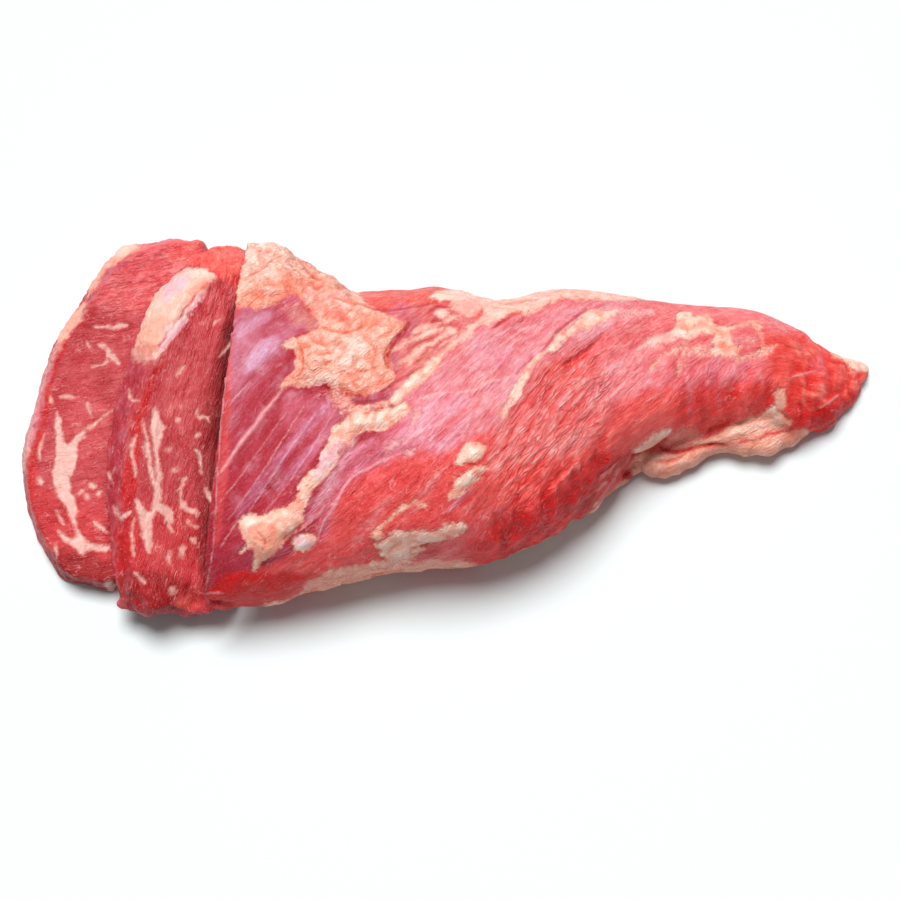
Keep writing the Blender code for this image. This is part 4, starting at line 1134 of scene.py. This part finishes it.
def big_piece():
    """The main piece: cap, rolls and threads of fat, film, folds and muscle grain."""
    skin = skin_over("main_piece", "big_piece", BIG_SKIN)
    points = read_points(skin.data)
    cut_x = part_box("main_piece")[0].x
    near_cut = smooth_step(points[:, 0], cut_x + 34 * MM, cut_x + 16 * MM)
    ground = Ground(skin.data, relax(skin.data, points, 10, hold=near_cut * 0.8), BIG_GRAIN)
    places = ground.places
    seen = smooth_step(ground.normals @ BACK, -0.2, 0.08)
    cut_face = smooth_step(-ground.normals[:, 0], 0.72, 0.9) * near_cut
    resting = smooth_step(-ground.normals[:, 2], 0.55, 0.85)
    fat, fat_height, hides = big_fat(ground, seen, cut_face)
    lean = 1 - smooth_step(fat, -0.4, 0.8)

    lined = ground.ragged(0.8, 4, 5)
    threads = np.max([shape(lined) for shape in BIG_THREADS], axis=0) * PIXEL_MM
    grooves = np.max([shape(lined) for _, shape in BIG_GROOVES], axis=0) * PIXEL_MM
    bends = np.stack([ground.noise(7, seed) for seed in (31, 32, 33)], 1)
    bulging = smooth_step(BULGE(places), -14, 14)
    dimpled = smooth_step(DIMPLED_FLANK(places), -15, 15)
    near_tail = ground.downwards(352, 380)
    tail = ground.rightwards(650, 710) * ground.rightwards(850, 800)

    # Relief in mm: the fat's and the lean's own, then grooves and threads.  Cut face and foot are plain.
    fat_relief, tone = fat_forms(ground, bends)
    lean_relief, shades = lean_forms(ground, bends, bulging, dimpled, tail * near_tail)
    relief = fat_height + smooth_step(fat, 0.5, 4.0) * fat_relief + lean * lean_relief
    for depth, shape in BIG_GROOVES:
        relief -= depth * smooth_step(shape(lined), -2.5, 2.0) * seen
    relief += 0.25 * smooth_step(threads, -0.6, 0.3) * seen
    relief = np.where(cut_face > 0.5, ground.noise(4, 97) * 0.15, relief)
    relief *= 1 - resting * smooth_step(ground.mm[:, 2], 4, 0.5)
    ridges = ground.raise_by(relief)

    soft = ground.ragged(4.0, 7, 13)
    # Paler on the relief's ridges and darker in its grooves, and likewise on dimples, folds and lumps:
    # painted light and shade.
    flesh = washed(lined, washed(soft, ROSE, BIG_WASHES), BIG_LINES) * (1 + ridges * (0.05, 0.42, 0.42))
    for shade in shades:
        flesh = flesh * (1 + lean[:, None] * shade)
    flesh = mixed(washed(places, LEAN_RED, HIDDEN_WASHES), flesh, seen)
    flesh = mixed(flesh, SLICE_RED, cut_face)
    # Paler on the fat's lumps and apricot in the creases between them: painted light and shade, with some
    # random tone.
    suet = mixed(CREAM, PALE_FAT, smooth_step(tone, 0.1, 0.6))
    suet = mixed(suet, APRICOT, smooth_step(-tone, 0.2, 0.8) * 0.7)
    suet = mixed(suet, WHITISH, smooth_step(hides, 0.95, 0.6) * 0.8)
    # More coral in the relief's grooves and paler on its ridges: painted shade and light.
    suet = washed(soft, suet, BIG_FAT_WASHES) * (1 + ridges * (0.03, 0.26, 0.32))
    wrinkled = bulging + 0.7 * dimpled + 0.3 * tail * near_tail + 0.3 * ground.rightwards(760, 700)
    store(ground, {"flesh": flesh, "suet": suet}, {
        "fat": fat,
        "hides": hides,
        "thread": np.where(seen > 0.5, threads, OUT_OF_SIGHT),
        "groove": np.where(seen > 0.5, grooves, OUT_OF_SIGHT),
        "film": level(soft, 0.0, BIG_FILM) * seen,
        "crumple": np.where(seen > 0.5, level(soft, 0.5, BIG_CRUMPLE), 0.7),
        "fibre": 1 - level(soft, 0.0, BIG_SMOOTH),
        "wrinkle": np.clip(wrinkled, 0, 1) * lean,
    })
    return skin


def face_normal(normals):
    """The way that most of a slice's upper side faces."""
    up = normals[normals[:, 2] > 0.5].mean(0)
    return up / np.linalg.norm(up)


def cut_slice(node, name, fats, washes, fat_washes, grain_degrees, seed):
    """A fallen slice: two cut faces with the same marbling through and through, and a rim of fat and film."""
    skin = skin_over(node, name, SLICE_SKIN)
    runs = [((100, 400), grain_degrees), ((180, 500), grain_degrees)]
    ground = Ground(skin.data, relax(skin.data, read_points(skin.data), 6), runs)
    seen = smooth_step(ground.normals @ BACK, -0.3, 0.1)
    face = smooth_step(np.abs(ground.normals @ face_normal(ground.normals)), 0.7, 0.9)
    fat, relief, hides = fats_at(ground.ragged(1.3, 2.4, seed), ground.noise(2.2, seed + 1, 2), fats)
    hidden_rim = (ground.noise(16, seed + 3) - 0.15) * 8
    fat = np.where((seen < 0.5) & (face < 0.5), hidden_rim, fat)

    far_part = ground.downwards(350, 300)
    # Strands, unevenness small and broad, a rougher rim, wrinkles at the far end, and lumps at both ends.
    relief += ground.noise_along((7, 1.8, 2), seed + 5) * 0.14
    relief += ground.noise(6, seed + 6) * 0.25
    relief += ground.noise(16, seed + 9, 2) * 0.35
    relief += ground.noise(3, seed + 7) * 0.4 * (1 - face)
    relief -= creases_in(ground.grain / (8, 2.2, 2), seed + 12) ** 4 * 0.3 * far_part
    relief += ground.noise(8, seed + 10, 2) * 2.2 * ground.downwards(578, 602)
    relief += ground.noise(7, seed + 11, 2) * 0.9 * ground.downwards(262, 246)
    ridges = ground.raise_by(relief)

    soft = ground.ragged(3.0, 6, seed + 8)
    blotches = ground.noise(5, seed + 13)[:, None]
    # Paler on the relief's ridges and darker in its grooves: painted light and shade.
    flesh = washed(soft, SLICE_ROSE, washes) * (1 + ridges * (0.05, 0.35, 0.35))
    flesh = flesh * (1 + blotches * (0.05, 0.26, 0.24))
    nowhere = np.full(len(relief), OUT_OF_SIGHT)
    store(ground, {"flesh": flesh, "suet": washed(soft, MARBLE, fat_washes)}, {
        "fat": fat,
        "hides": hides,
        "thread": nowhere,
        "groove": nowhere,
        "film": (1 - face) * 0.6,
        "crumple": np.full(len(relief), 0.5),
        "fibre": 1 - smooth_step(HOLLOW(ground.places), -8, 6),
        "wrinkle": (0.3 + 0.4 * far_part) * face,
    })
    return skin


# ---------------------------------------------------------- shader parts
def new_group(name, inputs, outputs):
    """A node group whose inputs and outputs are single numbers, but for the inputs Grain and Place."""
    group = bpy.data.node_groups.new(name, "ShaderNodeTree")
    for label in inputs:
        kind = "NodeSocketVector" if label in ("Grain", "Place") else "NodeSocketFloat"
        group.interface.new_socket(label, in_out="INPUT", socket_type=kind)
    for label in outputs:
        group.interface.new_socket(label, in_out="OUTPUT", socket_type="NodeSocketFloat")
    return group, group.nodes.new("NodeGroupInput").outputs, group.nodes.new("NodeGroupOutput").inputs


def feed(tree, socket, value):
    if isinstance(value, bpy.types.NodeSocket):
        tree.links.new(value, socket)
    elif value is not None:
        socket.default_value = value


def calculate(tree, operation, first, second=None, third=None):
    """A Math node, fed with sockets or numbers."""
    node = tree.nodes.new("ShaderNodeMath")
    node.operation = operation
    for socket, value in zip(node.inputs, (first, second, third)):
        feed(tree, socket, value)
    return node.outputs[0]


def times(tree, first, second):
    return calculate(tree, "MULTIPLY", first, second)


def plus(tree, first, second):
    return calculate(tree, "ADD", first, second)


def minus(tree, first, second):
    return calculate(tree, "SUBTRACT", first, second)


def folded(tree, value):
    """Noise folded at its middle: 0 along crisp lines, rounded lumps between them."""
    return calculate(tree, "ABSOLUTE", minus(tree, value, 0.5))


def remap(tree, value, low, high, out_low=0.0, out_high=1.0):
    """A smooth step from `low` to `high`."""
    node = tree.nodes.new("ShaderNodeMapRange")
    node.interpolation_type = "SMOOTHSTEP"
    for socket, given in zip(node.inputs, (value, low, high, out_low, out_high)):
        feed(tree, socket, given)
    return node.outputs[0]


def noise(tree, vector, scale, detail=2.0, roughness=0.55, warp=0.0):
    node = tree.nodes.new("ShaderNodeTexNoise")
    feed(tree, node.inputs["Vector"], vector)
    node.inputs["Scale"].default_value = scale
    node.inputs["Detail"].default_value = detail
    node.inputs["Roughness"].default_value = roughness
    node.inputs["Distortion"].default_value = warp
    return node.outputs["Fac"]


def blend(tree, factor, under, over, mode="MIX"):
    node = tree.nodes.new("ShaderNodeMix")
    node.data_type = "RGBA"
    node.blend_type = mode
    feed(tree, node.inputs[0], factor)
    feed(tree, node.inputs[6], under)
    feed(tree, node.inputs[7], over)
    return node.outputs[2]


def tinted(tree, factor, colour, tint):
    """The colour, multiplied by the tint as far as the factor says."""
    return blend(tree, factor, colour, tint, "MULTIPLY")


def spared(tree, factor, colour, tint):
    """The colour, multiplied by the tint except as far as the factor says."""
    return blend(tree, factor, tinted(tree, 1.0, colour, tint), colour)


def read_attribute(tree, name, output="Fac"):
    node = tree.nodes.new("ShaderNodeAttribute")
    node.attribute_name = name
    return node.outputs[output]


def placed(tree, group, values):
    """A node group put into a material, fed with sockets or numbers."""
    node = tree.nodes.new("ShaderNodeGroup")
    node.node_tree = group
    for name, value in values.items():
        feed(tree, node.inputs[name], value)
    return node.outputs


def fibre_group():
    """Muscle: fine strands along the grain, in broad bands, with pale threads between them."""
    group, given, out = new_group("muscle fibres", ("Grain", "Length", "Width"),
                                  ("Strand", "Band", "Thread", "Glint", "Furrow", "Height"))

    def strands(long, wide, detail, roughness, warp=0.0):
        """Noise along the grain, so many lengths long and so many widths wide."""
        size = group.nodes.new("ShaderNodeCombineXYZ")
        for k, (side, by) in enumerate((("Length", long), ("Width", wide), ("Width", wide * 2))):
            feed(group, size.inputs[k], times(group, given[side], by))
        node = group.nodes.new("ShaderNodeVectorMath")
        node.operation = "DIVIDE"
        feed(group, node.inputs[0], given["Grain"])
        feed(group, node.inputs[1], size.outputs[0])
        return noise(group, node.outputs[0], 1, detail, roughness, warp)

    def dark_lines(long, wide, narrow):
        return remap(group, folded(group, strands(long, wide, 1.4, 0.5, 0.6)), narrow, 0.0)

    coarse = strands(0.85, 1.15, 3, 0.6, 0.4)
    fine = strands(0.5, 0.4, 3, 0.62, 0.3)
    strand = plus(group, times(group, coarse, 0.55), times(group, fine, 0.45))
    finer_lines = times(group, dark_lines(0.9, 1.5, 0.07), 0.7)
    furrows = calculate(group, "MAXIMUM", dark_lines(1.3, 2.5, 0.075), finer_lines)
    broken = remap(group, strands(1.3, 3.6, 2, 0.6), 0.35, 0.51)
    thin = remap(group, folded(group, strands(1.6, 2.6, 2, 0.5, 0.3)), 0.024, 0.0)
    gate = remap(group, strands(1.2, 7, 1, 0.55), 0.5, 0.62)
    feed(group, out["Strand"], remap(group, strand, 0.41, 0.59))
    feed(group, out["Band"], remap(group, strands(2.6, 4.5, 2, 0.5, 0.4), 0.36, 0.64))
    feed(group, out["Thread"], times(group, thin, gate))
    feed(group, out["Glint"], remap(group, strands(0.14, 0.45, 2, 0.6), 0.62, 0.70))
    feed(group, out["Furrow"], times(group, broken, furrows))
    feed(group, out["Height"], plus(group, coarse, times(group, fine, 0.5)))
    return group


def suet_group():
    """Fat: a mottled, crumpled surface with fine creases between soft lumps."""
    group, given, out = new_group("suet", ("Place", "Grain"), ("Mottle", "Crease", "Height"))
    stretched = group.nodes.new("ShaderNodeMapping")
    feed(group, stretched.inputs["Vector"], given["Grain"])
    stretched.inputs["Scale"].default_value = (0.16, 0.62, 0.3)
    folds = folded(group, noise(group, stretched.outputs[0], 1, 3, 0.55, 0.6))
    large = folded(group, noise(group, given["Place"], 170, 3, 0.55, 0.5))
    small = folded(group, noise(group, given["Place"], 420, 2, 0.55, 0.6))
    # Mottle: random tone that is lowest in the hollows between the wide lumps, where the fat gets painted
    # shade.
    tone = plus(group, noise(group, given["Place"], 260, 4, 0.65, 0.4), times(group, large, 0.6))
    feed(group, out["Mottle"], remap(group, tone, 0.45, 0.66))

    # Crease: fine lines between lumps, where the fat gets painted shade.
    lines = calculate(group, "MAXIMUM", remap(group, large, 0.022, 0.0), remap(group, folds, 0.026, 0.0))
    small_lines = times(group, remap(group, small, 0.03, 0.0), 0.6)
    feed(group, out["Crease"], calculate(group, "MAXIMUM", lines, small_lines))

    wide_lumps = times(group, calculate(group, "SMOOTH_MIN", large, 0.2, 0.2), 1.8)
    long_folds = times(group, calculate(group, "SMOOTH_MIN", folds, 0.12, 0.1), 2.4)
    small_lumps = times(group, calculate(group, "SMOOTH_MIN", small, 0.12, 0.12), 1.1)
    feed(group, out["Height"], plus(group, plus(group, wide_lumps, long_folds), small_lumps))
    return group


# ---------------------------------------------------------- meat
# Tints multiply the colour that they lie on.
# Painted shade in small pits of the lean, and painted highlights on its small wet specks.
PIT_SHADE = (0.97, 0.86, 0.87, 1)
SPECK_HIGHLIGHT = (1.02, 1.10, 1.10, 1)
# Painted shade in furrows and in grooves.
FURROW_SHADE = (0.92, 0.46, 0.46, 1)
GROOVE_SHADE = (0.72, 0.32, 0.34, 1)
# Painted shade between the fat's lumps, with some random mottling; painted shade in its fine creases and in
# grooves through it.
FAT_SHADE = (0.96, 0.72, 0.69, 1)
FAT_CREASE_SHADE = (0.92, 0.50, 0.42, 1)
FAT_GROOVE_SHADE = (0.88, 0.42, 0.32, 1)
FAT_EDGE = (0.98, 0.78, 0.76, 1)

# Colours, in linear light, that cover the lean.
FILM_VEIL = (0.80, 0.44, 0.56, 1)
FINE_THREAD = (0.98, 0.50, 0.48, 1)
THREAD = (0.98, 0.58, 0.56, 1)
GLINT = (1.0, 0.62, 0.60, 1)

BIG_LOOK = {
    "fibre length mm": 7.0, "fibre width mm": 0.9, "fibre height mm": 0.65,
    "strand dark": (0.94, 0.70, 0.72, 1), "strand pale": (1.04, 1.26, 1.24, 1),
    "band dark": (0.95, 0.80, 0.82, 1), "mottle dark": (0.94, 0.74, 0.76, 1),
    "thread cover": 0.4, "glint cover": 0.22, "fleck cover": 0.0, "roughness": 0.38,
    "fat fray mm": 2.8, "fat from mm": -0.7, "fat full mm": 0.8, "fat crumple mm": 0.92,
}
SLICE_LOOK = {
    "fibre length mm": 5.0, "fibre width mm": 0.9, "fibre height mm": 0.45,
    "strand dark": (0.95, 0.78, 0.80, 1), "strand pale": (1.03, 1.20, 1.18, 1),
    "band dark": (0.93, 0.72, 0.76, 1), "mottle dark": (0.92, 0.62, 0.66, 1),
    "thread cover": 0.3, "glint cover": 0.3, "fleck cover": 0.2, "roughness": 0.38,
    "fat fray mm": 1.6, "fat from mm": -0.9, "fat full mm": 0.7, "fat crumple mm": 0.4,
}


def lean_colour(tree, place, strands, grit, is_thread, is_groove, furrow, look):
    """The washed flesh with its strands, bands, mottling, threads and film, whose veil is partly painted
    sheen; painted highlights on glints and specks; and painted shade in pits, furrows and grooves.
    """
    flesh = read_attribute(tree, "flesh", "Color")
    fibre = read_attribute(tree, "fibre")
    strand = calculate(tree, "MULTIPLY_ADD", minus(tree, strands["Strand"], 0.5), fibre, 0.5)
    lean = blend(tree, strand, tinted(tree, 1.0, flesh, look["strand dark"]),
                 tinted(tree, 1.0, flesh, look["strand pale"]))
    lean = spared(tree, strands["Band"], lean, look["band dark"])
    mottle = remap(tree, noise(tree, place, 200, 3, 0.6, 0.3), 0.38, 0.60)
    lean = spared(tree, mottle, lean, look["mottle dark"])
    # Painted shade in the small pits of the grit, and painted highlights on its wet specks.
    lean = spared(tree, remap(tree, grit, 0.36, 0.52), lean, PIT_SHADE)
    lean = tinted(tree, remap(tree, grit, 0.52, 0.68), lean, SPECK_HIGHLIGHT)
    # A pale veil where there is film, in patches: the film's own colour, partly painted sheen.
    sheen = remap(tree, noise(tree, place, 130, 3, 0.6, 0.6), 0.42, 0.68, 0.0, 0.3)
    veil = times(tree, read_attribute(tree, "film"), times(tree, sheen, strands["Band"]))
    lean = blend(tree, veil, lean, FILM_VEIL)
    cover = look["thread cover"]
    fine_cover = calculate(tree, "MULTIPLY_ADD", fibre, cover * 0.7, cover * 0.3)
    lean = blend(tree, times(tree, strands["Thread"], fine_cover), lean, FINE_THREAD)
    lean = blend(tree, times(tree, is_thread, 0.42), lean, THREAD)
    lean = blend(tree, times(tree, strands["Glint"], times(tree, fibre, look["glint cover"])), lean, GLINT)
    # Painted shade in furrows and grooves.
    lean = tinted(tree, times(tree, furrow, 0.95), lean, FURROW_SHADE)
    return tinted(tree, times(tree, is_groove, 0.75), lean, GROOVE_SHADE)


def fat_colour(tree, lumps, crumple, edge, is_groove, look):
    """The washed fat, mottled, with painted shade between its lumps, in its creases and grooves, and pinker
    along its edge.
    """
    suet = read_attribute(tree, "suet", "Color")
    # Painted shade between the lumps, with some random mottling, then in fine creases and in grooves.
    suet = tinted(tree, times(tree, crumple, minus(tree, 1.0, lumps["Mottle"])), suet, FAT_SHADE)
    suet = tinted(tree, times(tree, lumps["Crease"], times(tree, crumple, 0.58)), suet, FAT_CREASE_SHADE)
    suet = tinted(tree, times(tree, is_groove, 0.7), suet, FAT_GROOVE_SHADE)
    rim = remap(tree, edge, look["fat full mm"] + 0.3, look["fat from mm"])
    return tinted(tree, times(tree, rim, 0.6), suet, FAT_EDGE)


def meat_material(name, fibres, suet, look):
    """Raw meat: flesh with strands, threads and film on it, and fat where the mesh says there is fat."""
    material = bpy.data.materials.new(name)
    material.use_nodes = True
    tree = material.node_tree
    shader = tree.nodes["Principled BSDF"]
    place = tree.nodes.new("ShaderNodeTexCoord").outputs["Object"]
    grain = read_attribute(tree, "grain", "Vector")
    strands = placed(tree, fibres, {
        "Grain": grain, "Length": look["fibre length mm"], "Width": look["fibre width mm"]})
    lumps = placed(tree, suet, {"Place": place, "Grain": grain})
    crumple = read_attribute(tree, "crumple")
    furrow = times(tree, strands["Furrow"], read_attribute(tree, "wrinkle"))
    grit = noise(tree, place, 760, 4, 0.7, 0.5)

    # Where fat, threads and grooves show, from 0 to 1.
    edge_noise = minus(tree, noise(tree, place, 620, 4, 0.65, 0.3), 0.5)

    def frayed(attribute, amount):
        """An attribute whose edges are made uneven by fine noise."""
        return plus(tree, read_attribute(tree, attribute), times(tree, edge_noise, amount))

    edge = frayed("fat", look["fat fray mm"])
    is_fat = remap(tree, edge, look["fat from mm"], look["fat full mm"])
    is_thread = remap(tree, frayed("thread", 0.8), -0.35, 0.35)
    is_groove = remap(tree, frayed("groove", 1.0), -0.3, 0.5)
    fleck = times(tree, remap(tree, noise(tree, place, 330, 3, 0.6, 0.8), 0.69, 0.74), look["fleck cover"])
    covering = times(tree, is_fat, calculate(tree, "MINIMUM", 1.0, frayed("hides", 0.6)))
    covering = calculate(tree, "MAXIMUM", covering, fleck)
    lean = lean_colour(tree, place, strands, grit, is_thread, is_groove, furrow, look)
    fat = fat_colour(tree, lumps, crumple, edge, is_groove, look)
    feed(tree, shader.inputs["Base Color"], blend(tree, covering, lean, fat))

    # A wet surface with a little light passing under it.
    mean = look["roughness"]
    uneven = remap(tree, noise(tree, place, 260, 3), 0.3, 0.7, mean - 0.1, mean + 0.1)
    feed(tree, shader.inputs["Roughness"], minus(tree, uneven, times(tree, is_fat, 0.04)))
    shader.inputs["Specular IOR Level"].default_value = 0.22
    shader.inputs["Subsurface Weight"].default_value = 0.10
    shader.inputs["Subsurface Radius"].default_value = (1.0, 0.35, 0.25)
    shader.inputs["Subsurface Scale"].default_value = 1.6 * MM

    # Relief finer than the mesh, in mm.
    strand_height = times(tree, strands["Height"], look["fibre height mm"])
    lean_height = plus(tree, minus(tree, strand_height, times(tree, furrow, 0.35)), times(tree, grit, 0.2))
    crumple_height = times(tree, calculate(tree, "MULTIPLY_ADD", crumple, 0.75, 0.25), look["fat crumple mm"])
    height = tree.nodes.new("ShaderNodeMix")
    feed(tree, height.inputs[0], is_fat)
    feed(tree, height.inputs[2], lean_height)
    feed(tree, height.inputs[3], times(tree, lumps["Height"], crumple_height))
    bump = tree.nodes.new("ShaderNodeBump")
    bump.inputs["Distance"].default_value = MM
    feed(tree, bump.inputs["Height"], plus(tree, height.outputs[0], times(tree, is_groove, -0.25)))
    feed(tree, shader.inputs["Normal"], bump.outputs[0])
    return material


# ---------------------------------------------------------- studio
# The floor is a little cool, so that red light off the meat leaves its shadow grey.
FLOOR_COLOUR = (0.79, 0.855, 0.86, 1)
FLOOR_SIZE = 4.0
SUN_FROM = Vector((-0.12, 0.365, 1.0))
SUN_SPREAD = math.radians(31)
SUN_STRENGTH = 3.55
SKY_STRENGTH = 0.19


def floor():
    """A plain pale table."""
    work = bmesh.new()
    bmesh.ops.create_grid(work, x_segments=1, y_segments=1, size=FLOOR_SIZE)
    mesh = bpy.data.meshes.new("floor")
    work.to_mesh(mesh)
    work.free()
    table = bpy.data.objects.new("floor", mesh)
    bpy.context.scene.collection.objects.link(table)
    material = bpy.data.materials.new("white table")
    material.use_nodes = True
    shader = material.node_tree.nodes["Principled BSDF"]
    shader.inputs["Base Color"].default_value = FLOOR_COLOUR
    shader.inputs["Roughness"].default_value = 0.9
    shader.inputs["Specular IOR Level"].default_value = 0.1
    mesh.materials.append(material)


def lights():
    """A broad soft light from the far left, and a weak even one from all around."""
    lamp = bpy.data.lights.new("soft light", "SUN")
    lamp.energy = SUN_STRENGTH
    lamp.angle = SUN_SPREAD
    sun = bpy.data.objects.new("soft light", lamp)
    bpy.context.scene.collection.objects.link(sun)
    sun.rotation_mode = "QUATERNION"
    sun.rotation_quaternion = SUN_FROM.to_track_quat("Z", "Y")
    world = bpy.data.worlds.new("studio")
    bpy.context.scene.world = world
    world.use_nodes = True
    sky = world.node_tree.nodes["Background"]
    sky.inputs["Color"].default_value = (1, 1, 1, 1)
    sky.inputs["Strength"].default_value = SKY_STRENGTH


def camera():
    view = bpy.data.objects.new("camera", bpy.data.cameras.new("camera"))
    bpy.context.scene.collection.objects.link(view)
    view.location = Vector(LOOK_AT + BACK * CAMERA_FAR)
    view.rotation_mode = "QUATERNION"
    view.rotation_quaternion = Vector(-BACK).to_track_quat("-Z", "Y")
    view.data.sensor_width = SENSOR_MM
    view.data.lens = SENSOR_MM * FOCUS / PICTURE
    bpy.context.scene.camera = view


# ---------------------------------------------------------- the whole
def dress(piece, node, material):
    """The piece stands for its node, rides with it and takes its finish."""
    piece.data.materials.clear()
    piece.data.materials.append(material)
    piece.data.polygons.foreach_set("use_smooth", np.ones(len(piece.data.polygons), bool))
    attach(piece, "root")
    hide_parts(node)


FIBRES = fibre_group()
SUET = suet_group()
BIG_MEAT = meat_material("big_meat", FIBRES, SUET, BIG_LOOK)
SLICE_MEAT = meat_material("slice_meat", FIBRES, SUET, SLICE_LOOK)

dress(big_piece(), "main_piece", BIG_MEAT)
dress(cut_slice("inner_slice", "inner_cut", INNER_FATS, INNER_WASHES, INNER_FAT_WASHES, 74, 200),
      "inner_slice", SLICE_MEAT)
dress(cut_slice("outer_slice", "outer_cut", OUTER_FATS, OUTER_WASHES, OUTER_FAT_WASHES, 12, 300),
      "outer_slice", SLICE_MEAT)
floor()
lights()
camera()
bpy.context.scene.view_settings.view_transform = "Standard"
